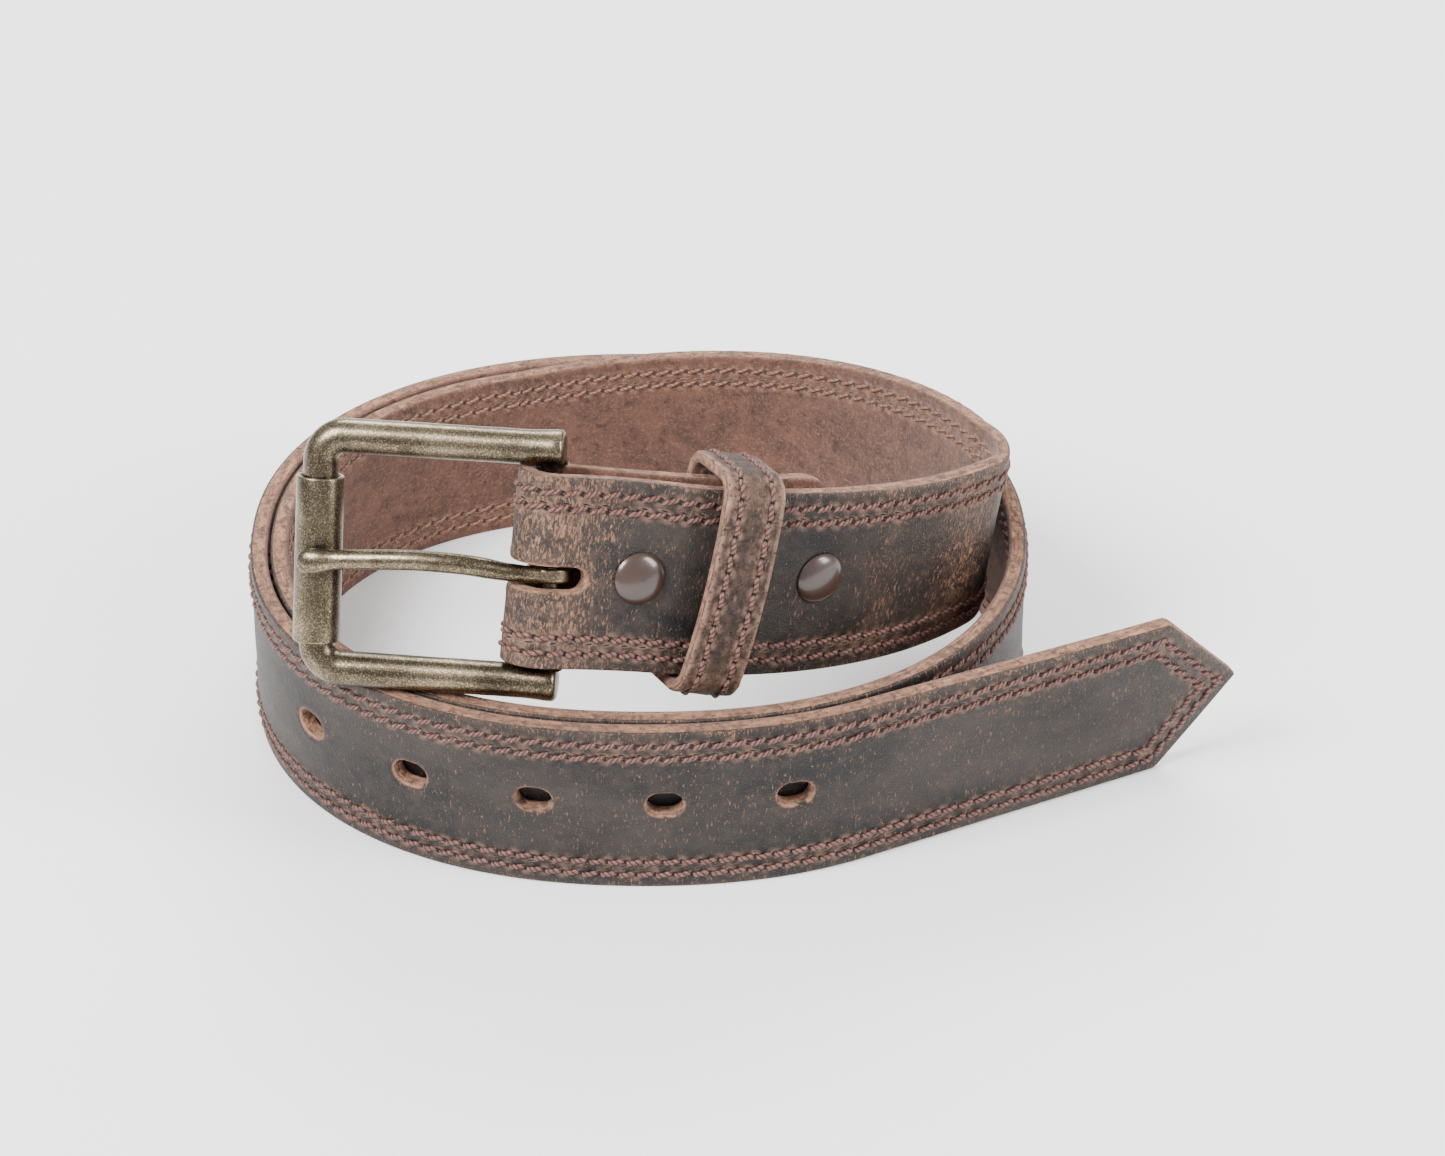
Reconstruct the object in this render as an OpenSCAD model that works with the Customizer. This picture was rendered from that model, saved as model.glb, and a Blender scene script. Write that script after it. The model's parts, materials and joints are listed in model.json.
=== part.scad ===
// Leather belt, coiled one and a quarter turns and standing on its lower edge.
// The strap is one ply of leather. It starts at the pointed tip, runs clockwise seen from above, rises,
// and folds back round the heel bar of a roller buckle. Two snaps hold the folded flap.
// Distances called d run along the strap from the outer face of the fold (0) to the pointed tip.
// Distances called q run the same way, but start at the buckle's heel bar.

/* [Strap] */
// Width of the leather
strap_w = 38; // [37:0.5:39]
// Thickness of the leather
strap_t = 3.5; // [3.2:0.1:3.6]
// Distance from the tip to the shoulders of its point
tip_len = 17; // [12:1:24]
// Distance from the tip to the first belt hole
first_hole = 97.5; // [90:0.5:110]
// Distance between belt holes
hole_pitch = 25.4; // [20:0.1:27]
// Number of belt holes
hole_count = 5; // [3:1:6]
// Length of a belt hole along the strap
hole_l = 7.2; // [6:0.1:8]
// Height of a belt hole across the strap
hole_h = 5.5; // [4:0.1:6]
// Height of the belt holes' centres above the middle of the strap
hole_up = 1.5; // [0:0.1:2]
// Length of the flap behind the heel bar
flap_len = 58; // [57:1:62]

/* [Coil] */
// Half of the coil's length, to the middle of the leather
oval_a = 79; // [77:0.5:82]
// Half of the coil's depth, to the middle of the leather
oval_b = 65.8; // [64:0.5:68]
// Gap between one turn and the next
turn_gap = 0.6; // [0.5:0.1:1]

/* [Buckle] */
// Distance from the heel bar to the roller
buckle_len = 45.5; // [44:0.5:48]
// Radius of the cast frame's rod
rod_r = 3.4; // [3:0.1:3.6]
// Radius of the heel bar inside the fold
heel_r = 2.2; // [2:0.1:2.3]
// Outer radius of the roller
roller_r = 4.65; // [4.4:0.05:4.8]
// Radius of the prong's shaft
prong_r = 2; // [1.8:0.1:2.1]

/* [Keeper] */
// Width of the keeper loop along the strap
keeper_w = 12.5; // [11:0.5:13]
// Thickness of the keeper's leather
keeper_t = 2.6; // [2.4:0.1:2.8]
// Distance from the heel bar to the middle of the keeper
keeper_q = 31.6; // [31:0.1:32]

/* [Hidden] */
fine = 48;
eps = 0.01;

// Place of the coil's centre, which puts the origin under the middle of the whole belt
coil_c = [-19.39, 1.05];
oval_pow = 2.2;
turn_step = strap_t + turn_gap;
coil_start = 52;
coil_end = 602;
// Runs along the floor plan beyond the coil: [length, turn in degrees], turning the same way as the coil
tail_runs = [[60, 0], [22, 4]];
inner_runs = [[122, 90], [14, 52], [76, 39.5], [29, -9.2]];
// The buckle end climbs out of the coil
lift_nose = 49;
lift_run = 238;
lift_pow = 1.35;
// Sideways lean of the strap in degrees, positive where its top edge leans into the coil
lean_nose = 20;
lean_back = -6.5;
lean_tip = -5;
lean_turn = 125;
lean_fade = 100;
lean_tail = 120;

// The fold round the heel bar
fold_r = 3.4;
fold_mid_r = fold_r + strap_t / 2;
fold_extra = 1;
heel_d = fold_extra + fold_mid_r + strap_t / 2;
flap_gap = 3.6;
flap_sep = flap_gap + strap_t;
flap_close_q = 14;
flap_rise = 0.4;
flap_rise_q = 15;
flap_corner = 8;
slot_half = 2.45;
slot_end_q = 4.5;
slot_up = -1.25;

// Stations along the strap: close together where it bends and folds, and further apart in the coil
near_step = 2;
far_step = 5;
near_end = 150;
fold_steps = 10;
tip_blunt = 0.8;

// Buckle
edge_gap = 0.6;
arm_z = strap_w / 2 + edge_gap + rod_r;
corner_r = 5;
arm_back = 2.2;
arm_bevel = 0.6;
swivel = -33;
droop = -4;
running_gap = 0.08;
rest_gap = 0.15;
roller_gap = 0.3;
roller_drop = 1.4;
roller_half = arm_z - corner_r - roller_gap - roller_drop;
roller_rim = 0.5;
eye_r = 4.5;
eye_w = 3;
eye_up = -1.3;

// Snaps
snap_q = [14.5, 51.8];
snap_h = [19, 20.2];
snap_hole_r = 1.85;
snap_gap = 0.05;
seat_gap = 0.1;
seat_h = 1.5;
cap_r = 5.25;
cap_h = 2;
cap_rim = 0.6;
socket_r = 4.3;
socket_h = 2.2;
stud_r = 4.2;
stud_plate = 0.8;
nipple_r = 2.3;
nipple_h = 1.7;
post_r = 4.5;
post_flange = 0.8;
barrel_r = 1.8;
post_barrel_r = 1.3;
socket_floor = 1;

// Keeper
keeper_tilt = 5;
keeper_front = 4.3;
keeper_back = -11;
keeper_room = 3;
keeper_in_h = strap_w + keeper_room;
keeper_up = 0.25;
keeper_back_corner = 2;
keeper_front_corner = 3.5;
keeper_bow = 1.5;
keeper_bow_r = (pow(keeper_in_h / 2 - keeper_front_corner, 2) + pow(keeper_bow, 2)) / (2 * keeper_bow);
keeper_slit = 0.3;
staple_span = 7;
staple_wire = 0.9;
staple_flat = 0.45;
staple_tip = 0.6;
staple_bare = 1.5;

// Stitching
thread_w = 0.9;
thread_proud = 0.12;
thread_sunk = 0.3;
row_in = [3.2, 6.3];
keeper_row = 3.3;
flap_row_stop = 6;

// --- Route of the strap ---

function unit(v) = v / norm(v);
function smooth(u) = let (c = max(0, min(1, u))) c * c * (3 - 2 * c);
function reverse(list) = [for (i = [len(list) - 1:-1:0]) list[i]];
function last(list) = list[len(list) - 1];
function heading(v) = atan2(v.y, v.x);

// Floor plan of the coil: an oval whose radius shrinks by one step a turn, once the first quarter is past
function oval_term(u, half) = pow(abs(u) / half, oval_pow);
function oval_r(a) = pow(oval_term(cos(a), oval_a) + oval_term(sin(a), oval_b), -1 / oval_pow);
function coil_r(a) = oval_r(a) - turn_step * max(a - 90, 0) / 360;
function coil_pt(a) = coil_c + coil_r(a) * [cos(a), -sin(a)];

// A run that turns evenly, as a list of points after p
run_steps = 30;
function run_pts(p, h, run, turn, i = 1) = i > run_steps ? [] :
    let (a = h + (i - 0.5) * turn / run_steps)
    let (next = p + run / run_steps * [cos(a), sin(a)])
    concat([next], run_pts(next, h, run, turn, i + 1));
function runs_pts(p, h, runs, side, k = 0) = k == len(runs) ? [] :
    let (pts = run_pts(p, h, runs[k][0], side * runs[k][1]))
    concat(pts, runs_pts(last(pts), h + side * runs[k][1], runs, side, k + 1));

coil_pts = [for (a = [coil_start:1:coil_end]) coil_pt(a)];
tail_pts = runs_pts(coil_pts[0], heading(coil_pts[0] - coil_pts[1]), tail_runs, 1);
inner_pts = runs_pts(last(coil_pts), heading(last(coil_pts) - coil_pts[len(coil_pts) - 2]), inner_runs, -1);
// From the fold back to the tip
plan_pts = reverse(concat(reverse(tail_pts), coil_pts, inner_pts));
plan_n = len(plan_pts);
plan_steps = [for (i = [1:plan_n - 1]) norm(plan_pts[i] - plan_pts[i - 1])];
plan_d = [for (i = 0, s = 0; i < plan_n; s = s + (i < plan_n - 1 ? plan_steps[i] : 0), i = i + 1) s];
plan_x = [for (i = [0:plan_n - 1]) [plan_d[i], plan_pts[i].x]];
plan_y = [for (i = [0:plan_n - 1]) [plan_d[i], plan_pts[i].y]];
strap_len = last(plan_d);

function lean(d) = lean_nose + (lean_back - lean_nose) * smooth(d / lean_turn)
    - lean_back * smooth((d - lean_turn) / lean_fade)
    + lean_tip * smooth((lean_tail - strap_len + d) / lean_tail);
function lift(d) = lift_nose * pow(max(1 - d / lift_run, 0), lift_pow);

// Lower edge of the strap, in the middle of its thickness, and the directions there:
// along (towards the fold), up (across the width) and out (through the grain side)
function foot(d) = [lookup(d, plan_x), lookup(d, plan_y), lift(d) + strap_t / 2 * abs(sin(lean(d)))];
function along(d) = unit(foot(max(d - 1, 0)) - foot(min(d + 1, strap_len)));
function up(d) = let (t = along(d))
    let (z = unit([0, 0, 1] - t.z * t))
    cos(lean(d)) * z - sin(lean(d)) * cross(z, t);
function out(d) = cross(up(d), along(d));

// A matrix with the given axes, whose z axis is x cross y
function place(p, x, y) = let (z = cross(x, y))
    [[x.x, y.x, z.x, p.x], [x.y, y.y, z.y, p.y], [x.z, y.z, z.z, p.z], [0, 0, 0, 1]];
// Strap frame at d and height h: x away from the fold, y up, z out of the grain side
module on_strap(d, h) multmatrix(place(foot(d) + h * up(d), -along(d), up(d))) children();

// --- Strap ---

function flap_offset(q) = 2 * fold_mid_r + (flap_sep - 2 * fold_mid_r) * smooth(q / flap_close_q);
function flap_lift(q) = flap_rise * smooth((q - flap_rise_q) / (flap_len - flap_rise_q));
function flap_trim(q) = let (u = max(q - flap_len + flap_corner, 0))
    flap_corner - sqrt(max(flap_corner * flap_corner - u * u, 0));
function tip_trim(d) = max(strap_w / 2 - max(strap_len - d, 0) * strap_w / 2 / tip_len, 0);

// A station is [middle of the leather at the lower edge, up, outward, lower trim, upper trim]
function flap_station(q) = let (d = heel_d + q)
    [foot(d) - flap_offset(q) * out(d) + flap_lift(q) * up(d), up(d), -out(d), flap_trim(q)];
function fold_station(a) = let (d = heel_d - fold_extra)
    let (n = cos(a) * out(d) + sin(a) * along(d))
    [foot(d) - fold_mid_r * out(d) + fold_mid_r * n, up(d), n, 0];
function strap_station(d) = [foot(d), up(d), out(d), tip_trim(d)];

flap_q = [for (q = [flap_len:-near_step:0]) q];
fold_a = [for (i = [0:fold_steps]) 180 - 180 * i / fold_steps];
near_d = [for (d = [heel_d:near_step:near_end]) d];
far_n = floor((strap_len - tip_len - near_end) / far_step);
far_d = [for (i = [1:far_n]) near_end + i * (strap_len - tip_len - near_end) / far_n];
tip_d = [for (k = [0.25, 0.5, 0.75, 1]) strap_len - tip_len + k * (tip_len - tip_blunt)];
stations = concat([for (q = flap_q) flap_station(q)], [for (a = fold_a) fold_station(a)],
    [for (d = near_d) strap_station(d)], [for (d = far_d) strap_station(d)],
    [for (d = tip_d) strap_station(d)]);

function at(s, h, o) = s[0] + h * s[1] + o * s[2];
function section(s) = [at(s, s[3], strap_t / 2), at(s, strap_w - s[3], strap_t / 2),
    at(s, strap_w - s[3], -strap_t / 2), at(s, s[3], -strap_t / 2)];

// A closed skin over rings of m points each
module skin(rings) {
    m = len(rings[0]);
    n = len(rings);
    points = [for (r = rings) each r];
    sides = [for (i = [0:n - 2], j = [0:m - 1])
        let (a = i * m + j, b = i * m + (j + 1) % m)
        each [[a, b, b + m], [a, b + m, a + m]]];
    first = [for (j = [m - 1:-1:0]) j];
    end = [for (j = [0:m - 1]) (n - 1) * m + j];
    polyhedron(points, concat(sides, [first, end]), convexity = 10);
}

module belt_hole(k) on_strap(strap_len - first_hole - k * hole_pitch, strap_w / 2 + hole_up) {
    run = (hole_l - hole_h) / 2;
    for (x = [-run, run]) translate([x, 0, -strap_t]) cylinder(d = hole_h, h = 2 * strap_t, $fn = fine);
    translate([-run, -hole_h / 2, -strap_t]) cube([2 * run, hole_h, 2 * strap_t]);
}

module prong_slot() on_strap(heel_d, strap_w / 2 + slot_up) {
    depth = 2 * fold_mid_r + 2 * strap_t;
    x = slot_end_q - slot_half;
    translate([x, 0, strap_t - depth]) cylinder(r = slot_half, h = depth, $fn = fine);
    translate([-2 * heel_d, -slot_half, strap_t - depth]) cube([x + 2 * heel_d, 2 * slot_half, depth]);
}

module snap_hole(k) on_snap(k)
    translate([0, 0, -flap_sep - strap_t]) cylinder(r = snap_hole_r, h = flap_sep + 2 * strap_t, $fn = fine);

// The flat seats that the snaps press into the curved leather, one on each face of each layer
module snap_seats(k) on_snap(k) {
    translate([0, 0, front_z]) cylinder(r = cap_r + seat_gap, h = seat_h, $fn = fine);
    translate([0, 0, flesh_z - seat_h]) cylinder(r = socket_r + seat_gap, h = seat_h, $fn = fine);
    translate([0, 0, flap_front_z]) cylinder(r = stud_r + seat_gap, h = seat_h, $fn = fine);
    translate([0, 0, flap_back_z - seat_h]) cylinder(r = post_r + seat_gap, h = seat_h, $fn = fine);
}

module strap() color("#4d4038") difference() {
    skin([for (s = stations) section(s)]);
    for (k = [0:hole_count - 1]) belt_hole(k);
    for (k = [0:1]) {
        snap_hole(k);
        snap_seats(k);
    }
    prong_slot();
}

// --- Stitching: each row runs along the lower edge, round the point and back along the upper edge ---

thread_first = flap_row_stop / near_step;
thread_end = len(stations) - len(tip_d) - 3;
thread_stations = concat([for (i = [thread_first:2:len(flap_q) - 1]) stations[i]],
    [for (i = [len(flap_q):2:thread_end]) stations[i]]);
tip_slope = strap_w / 2 / tip_len;

// Ridge of thread at station s and height h, with w its half-width along the station's height axis.
// side is 1 on the grain face and -1 on the flesh face.
function thread_ring(s, h, w, side) = let (low = side * (strap_t / 2 - thread_sunk))
    [at(s, h - w, low), at(s, h + w, low), at(s, h, side * (strap_t / 2 + thread_proud))];

// Where a row turns towards the point, and where its two halves meet there
function mitre(inset) = inset * sqrt(1 + tip_slope * tip_slope);
function shoulder_d(inset) = strap_len - (strap_w / 2 - inset + mitre(inset)) / tip_slope;
function point_d(inset) = strap_len - mitre(inset) / tip_slope;
function point_station(d) = [foot(d) + strap_w / 2 * up(d), along(d), out(d)];

module thread(inset, side, c) color(c) {
    line = concat(thread_stations, [strap_station(shoulder_d(inset))]);
    half = thread_w / 2;
    low = [for (s = line) thread_ring(s, inset, half, side)];
    point = thread_ring(point_station(point_d(inset)), 0, -half, side);
    high = [for (s = reverse(line)) thread_ring(s, strap_w - inset, -half, side)];
    rings = concat(low, [point], high);
    skin(side > 0 ? rings : reverse(rings));
}

// --- Snaps: z = 0 is the middle of the front layer ---

front_z = strap_t / 2;
flesh_z = -strap_t / 2;
flap_front_z = -flap_sep + strap_t / 2;
flap_back_z = -flap_sep - strap_t / 2;
socket_z = flesh_z - socket_h;

module on_snap(k) on_strap(heel_d + snap_q[k], snap_h[k]) children();

module snap_cap(k) color("#5b4b45") on_snap(k) {
    dome_r = (cap_r * cap_r + (cap_h - cap_rim) * (cap_h - cap_rim)) / 2 / (cap_h - cap_rim);
    translate([0, 0, front_z + snap_gap]) {
        cylinder(r = cap_r, h = cap_rim, $fn = fine);
        translate([0, 0, cap_rim]) intersection() {
            translate([0, 0, cap_h - cap_rim - dome_r]) sphere(r = dome_r, $fn = fine);
            cylinder(r = cap_r, h = cap_h, $fn = fine);
        }
    }
    translate([0, 0, flesh_z - 1]) cylinder(r = barrel_r, h = strap_t + 1 + snap_gap + eps, $fn = fine);
}

module snap_socket(k) color("#8c7a55") on_snap(k) difference() {
    translate([0, 0, socket_z]) cylinder(r = socket_r, h = socket_h - snap_gap, $fn = fine);
    translate([0, 0, socket_z - eps])
        cylinder(r = nipple_r + 2 * snap_gap, h = socket_h - socket_floor + eps, $fn = fine);
    translate([0, 0, socket_z]) cylinder(r = barrel_r + snap_gap, h = socket_h + 1, $fn = fine);
}

module snap_stud(k) color("#8c7a55") on_snap(k) difference() {
    union() {
        translate([0, 0, flap_front_z + snap_gap]) cylinder(r = stud_r, h = stud_plate, $fn = fine);
        translate([0, 0, flap_front_z + snap_gap]) cylinder(r = nipple_r, h = nipple_h, $fn = fine);
    }
    translate([0, 0, flap_front_z - 1]) cylinder(r = post_barrel_r + snap_gap, h = nipple_h + 2, $fn = fine);
}

module snap_post(k) color("#8c7a55") on_snap(k) {
    translate([0, 0, flap_back_z - post_flange - snap_gap])
        cylinder(r = post_r, h = post_flange, $fn = fine);
    translate([0, 0, flap_back_z - post_flange])
        cylinder(r = post_barrel_r, h = post_flange + strap_t + nipple_h, $fn = fine);
}

// --- Buckle: origin on the heel bar, x towards the roller, y outward, z along the bar ---

heel_c = foot(heel_d) + strap_w / 2 * up(heel_d) - fold_mid_r * out(heel_d);
swung_x = cos(swivel) * along(heel_d) + sin(swivel) * out(heel_d);
buckle_x = cos(droop) * swung_x + sin(droop) * up(heel_d);
buckle_z = cos(droop) * up(heel_d) - sin(droop) * swung_x;
buckle_y = cross(buckle_z, buckle_x);

module on_buckle() multmatrix(place(heel_c, buckle_x, buckle_y)) children();

module arm() translate([-arm_back, 0, arm_z]) rotate([0, 90, 0]) {
    cylinder(r1 = rod_r - arm_bevel, r2 = rod_r, h = arm_bevel, $fn = fine);
    translate([0, 0, arm_bevel])
        cylinder(r = rod_r, h = arm_back + buckle_len - corner_r - arm_bevel, $fn = fine);
}

module corner() translate([buckle_len - corner_r, 0, arm_z - corner_r]) rotate([90, 0, 0])
    rotate_extrude(angle = 90, $fn = 2 * fine) translate([corner_r, 0]) circle(r = rod_r, $fn = fine);

module buckle_frame() color("#7a6a4c") on_buckle() {
    for (s = [0, 1]) mirror([0, 0, s]) {
        arm();
        corner();
    }
    translate([buckle_len, 0, corner_r - arm_z])
        cylinder(r = rod_r, h = 2 * (arm_z - corner_r), $fn = fine);
    translate([0, 0, -arm_z]) cylinder(r = heel_r, h = 2 * arm_z, $fn = fine);
}

// The roller has slid down its bar
module roller() color("#84755a") on_buckle() translate([buckle_len, 0, -roller_drop])
    rotate_extrude($fn = 2 * fine)
    polygon([[rod_r + running_gap, -roller_half], [roller_r - roller_rim, -roller_half],
        [roller_r, -roller_half + roller_rim], [roller_r, roller_half - roller_rim],
        [roller_r - roller_rim, roller_half], [rod_r + running_gap, roller_half]]);

// Prong: the shaft leaves the top of the eye, bends out of the slot and rests on the roller
prong_rest = roller_r + rest_gap;
prong_line = [[-2.5, 2.4], [-1, 3.3], [2, 3.7], [5, 3.9], [8, 4.6], [11.5, 5.9], [15, 7.1], [19, 7.7],
    [25, 7.9], [31, 7.7], [37, 7.2], [41, prong_rest + 1.9], [44.5, prong_rest + 2],
    [47, prong_rest + 1.75], [48.3, prong_rest + 1.2]];
prong_side = [-1.3, -1.3, -1.3, -1.1, -0.8, -0.1, 0.5, 0.8, 0.9, 0.6, 0.1, -0.3, -0.7, -0.9, -0.9];
prong_wide = prong_r * [0.6, 0.8, 0.85, 0.85, 0.9, 1, 1, 1, 1, 1, 0.98, 1, 1.25, 1.15, 0.55];
prong_thick = prong_r * [0.35, 0.42, 0.55, 0.75, 0.92, 1, 1, 1, 0.98, 0.95, 0.9, 0.88, 0.9, 0.75, 0.35];
prong_sides = 12;

function prong_ring(i) = let (a = prong_line[max(i - 1, 0)], b = prong_line[min(i + 1, len(prong_line) - 1)])
    let (n = unit([a.y - b.y, b.x - a.x]))
    [for (k = [0:prong_sides - 1]) let (t = 360 * k / prong_sides)
        [prong_line[i].x + n.x * prong_thick[i] * sin(t),
            prong_line[i].y + n.y * prong_thick[i] * sin(t), prong_side[i] + prong_wide[i] * cos(t)]];

module prong() color("#7f7052") on_buckle() difference() {
    union() {
        translate([0, 0, eye_up - eye_w / 2]) cylinder(r = eye_r, h = eye_w, $fn = fine);
        skin([for (i = [0:len(prong_line) - 1]) prong_ring(i)]);
    }
    translate([0, 0, -2 * eye_w]) cylinder(r = heel_r + running_gap, h = 4 * eye_w, $fn = fine);
}

// --- Keeper: x along the strap away from the fold, y up, z outward ---

module on_keeper() on_strap(heel_d + keeper_q, strap_w / 2 + keeper_up)
    rotate([0, 0, -keeper_tilt]) children();

// Rounded outline of the loop seen along the strap, grown by g beyond the inner face
module keeper_outline(g) {
    back_r = keeper_back_corner + g;
    front_r = keeper_front_corner + g;
    z0 = keeper_back - g;
    z1 = keeper_front + g;
    y1 = keeper_in_h / 2 + g;
    for (s = [-1, 1]) {
        translate([s * (y1 - back_r), z0 + back_r]) circle(r = back_r, $fn = fine);
        translate([s * (y1 - front_r), z1 - front_r]) circle(r = front_r, $fn = fine);
    }
    translate([-y1, z0 + back_r]) square([2 * y1, z1 - z0 - back_r - front_r]);
    translate([back_r - y1, z0]) square([2 * (y1 - back_r), back_r]);
    translate([front_r - y1, z1 - front_r]) square([2 * (y1 - front_r), front_r]);
    intersection() {
        translate([0, keeper_front + keeper_bow - keeper_bow_r]) circle(r = keeper_bow_r + g, $fn = 8 * fine);
        translate([front_r - y1, z1 - front_r]) square([2 * (y1 - front_r), front_r + keeper_bow]);
    }
}

// A band of the loop between two growths of its inner face
module keeper_band(g0, g1, w) rotate([90, 0, 90]) linear_extrude(height = w, center = true) difference() {
    keeper_outline(g1);
    keeper_outline(g0);
}

staple_leg = keeper_t + 2 * staple_flat;

module keeper_loop() color("#8a6a58") on_keeper() difference() {
    keeper_band(0, keeper_t, keeper_w);
    translate([-keeper_w, -keeper_slit / 2, keeper_back - 2 * keeper_t])
        cube([2 * keeper_w, keeper_slit, 2 * keeper_t + 1]);
    for (y = [-staple_span / 2, staple_span / 2])
        translate([0, y, keeper_back - 2 * keeper_t])
            cylinder(d = staple_wire + 2 * snap_gap, h = 3 * keeper_t, $fn = fine);
}

// Wire staple that joins the butted ends at the back of the loop
module keeper_staple() color("#b0aca4") on_keeper() {
    crown_z = keeper_back - keeper_t - staple_flat;
    translate([-staple_wire / 2, -staple_span / 2 - staple_wire / 2, crown_z - snap_gap])
        cube([staple_wire, staple_span + staple_wire, staple_flat]);
    for (s = [-1, 1]) {
        translate([0, s * staple_span / 2, crown_z]) cylinder(d = staple_wire, h = staple_leg, $fn = fine);
        translate([-staple_wire / 2, s > 0 ? staple_tip : -staple_span / 2, keeper_back + snap_gap])
            cube([staple_wire, staple_span / 2 - staple_tip, staple_flat - snap_gap]);
    }
}

module keeper_thread(x) color("#5f3f38") on_keeper() translate([x, 0, 0]) difference() {
    keeper_band(keeper_t - thread_sunk, keeper_t + thread_proud, thread_w);
    translate([-keeper_w, -staple_span / 2 - staple_bare, keeper_back - 2 * keeper_t])
        cube([2 * keeper_w, staple_span + 2 * staple_bare, 2 * keeper_t]);
}

strap();
thread(row_in[0], 1, "#5f3f38");  // thread_outer_needle
thread(row_in[0], -1, "#9c7a5c");  // thread_outer_bobbin
thread(row_in[1], 1, "#5f3f38");  // thread_inner_needle
thread(row_in[1], -1, "#9c7a5c");  // thread_inner_bobbin
snap_cap(0);  // snap_cap_buckle_side
snap_socket(0);  // snap_socket_buckle_side
snap_stud(0);  // snap_stud_buckle_side
snap_post(0);  // snap_post_buckle_side
snap_cap(1);  // snap_cap_tip_side
snap_socket(1);  // snap_socket_tip_side
snap_stud(1);  // snap_stud_tip_side
snap_post(1);  // snap_post_tip_side
buckle_frame();
roller();
prong();
keeper_loop();
keeper_staple();
keeper_thread(-keeper_row);  // keeper_thread_buckle_side
keeper_thread(keeper_row);  // keeper_thread_tip_side
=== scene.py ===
import json
import math

import bpy
import numpy as np
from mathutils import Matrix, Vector


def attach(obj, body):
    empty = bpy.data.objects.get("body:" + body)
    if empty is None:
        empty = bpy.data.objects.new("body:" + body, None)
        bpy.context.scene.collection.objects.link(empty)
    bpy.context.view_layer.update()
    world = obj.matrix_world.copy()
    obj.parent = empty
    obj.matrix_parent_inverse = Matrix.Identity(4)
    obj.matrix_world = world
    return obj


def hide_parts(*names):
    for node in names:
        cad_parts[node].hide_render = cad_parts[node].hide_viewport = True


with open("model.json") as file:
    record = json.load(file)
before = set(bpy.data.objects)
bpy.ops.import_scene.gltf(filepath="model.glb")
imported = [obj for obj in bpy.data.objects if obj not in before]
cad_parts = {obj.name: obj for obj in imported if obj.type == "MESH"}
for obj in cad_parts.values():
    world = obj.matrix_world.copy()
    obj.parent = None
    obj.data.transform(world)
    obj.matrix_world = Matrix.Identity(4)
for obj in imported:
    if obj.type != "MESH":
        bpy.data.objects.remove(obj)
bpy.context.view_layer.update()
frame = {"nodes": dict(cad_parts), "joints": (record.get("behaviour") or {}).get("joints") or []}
SCENE = bpy.context.scene

# Lengths in this script are millimetres, as in the CAD source, until a mesh is made.
MM = 0.001

# --- Strap, as the CAD source has it ---
# d is the distance along the floor plan from its buckle end and q the distance from the heel bar. Runs are
# (length, turn in degrees).

STRAP_W, STRAP_T = 38.0, 3.5
HALF_W = STRAP_W / 2
TIP_LEN = 17.0
FIRST_HOLE, HOLE_PITCH, HOLE_COUNT = 97.5, 25.4, 5
HOLE_L, HOLE_H, HOLE_UP = 7.2, 5.5, 1.5
FLAP_LEN = 58.0
COIL_C = np.array([-19.39, 1.05])
OVAL_A, OVAL_B, OVAL_POW = 79.0, 65.8, 2.2
TURN_STEP = STRAP_T + 0.6
COIL_START, COIL_END = 52, 602
RUN_STEPS = 30
TAIL_RUNS = [(60, 0), (22, 4)]
INNER_RUNS = [(122, 90), (14, 52), (76, 39.5), (29, -9.2)]
LIFT_NOSE, LIFT_RUN, LIFT_POW = 49.0, 238.0, 1.35
LEAN_NOSE, LEAN_BACK, LEAN_TIP = 20.0, -6.5, -5.0
LEAN_TURN, LEAN_FADE, LEAN_TAIL = 125.0, 100.0, 120.0
FOLD_R = 3.4
FOLD_MID_R = FOLD_R + STRAP_T / 2
FOLD_EXTRA = 1.0
HEEL_D = FOLD_EXTRA + FOLD_MID_R + STRAP_T / 2
FLAP_SEP = 3.6 + STRAP_T
FLAP_CLOSE_Q, FLAP_RISE, FLAP_RISE_Q, FLAP_CORNER = 14.0, 0.4, 15.0, 8.0
SLOT_HALF, SLOT_END_Q, SLOT_UP = 2.45, 4.5, -1.25
STITCH = 3.6


def unit(v):
    return v / np.linalg.norm(v, axis=-1, keepdims=True)


def columns(*values):
    return np.stack(values, -1)


def smooth(u):
    c = np.clip(u, 0, 1)
    return c * c * (3 - 2 * c)


def bump(x, width):
    return np.exp(-(x / width) ** 2)


def coil_points():
    """The coil: an oval whose radius shrinks by TURN_STEP each turn."""
    a = np.radians(np.arange(COIL_START, COIL_END + 1, 1.0))
    across, ahead = np.abs(np.cos(a)) / OVAL_A, np.abs(np.sin(a)) / OVAL_B
    r = (across ** OVAL_POW + ahead ** OVAL_POW) ** (-1 / OVAL_POW)
    r -= TURN_STEP * np.maximum(np.degrees(a) - 90, 0) / 360
    return COIL_C + r[:, None] * columns(np.cos(a), -np.sin(a))


def run_points(start, heading, runs, side):
    """Points on from start along runs, which turn to one side or the other."""
    points = []
    p = start
    for length, turn in runs:
        for i in range(RUN_STEPS):
            a = math.radians(heading + side * turn * (i + 0.5) / RUN_STEPS)
            p = p + length / RUN_STEPS * np.array([math.cos(a), math.sin(a)])
            points.append(p)
        heading += side * turn
    return points


def heading_of(v):
    return math.degrees(math.atan2(v[1], v[0]))


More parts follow.
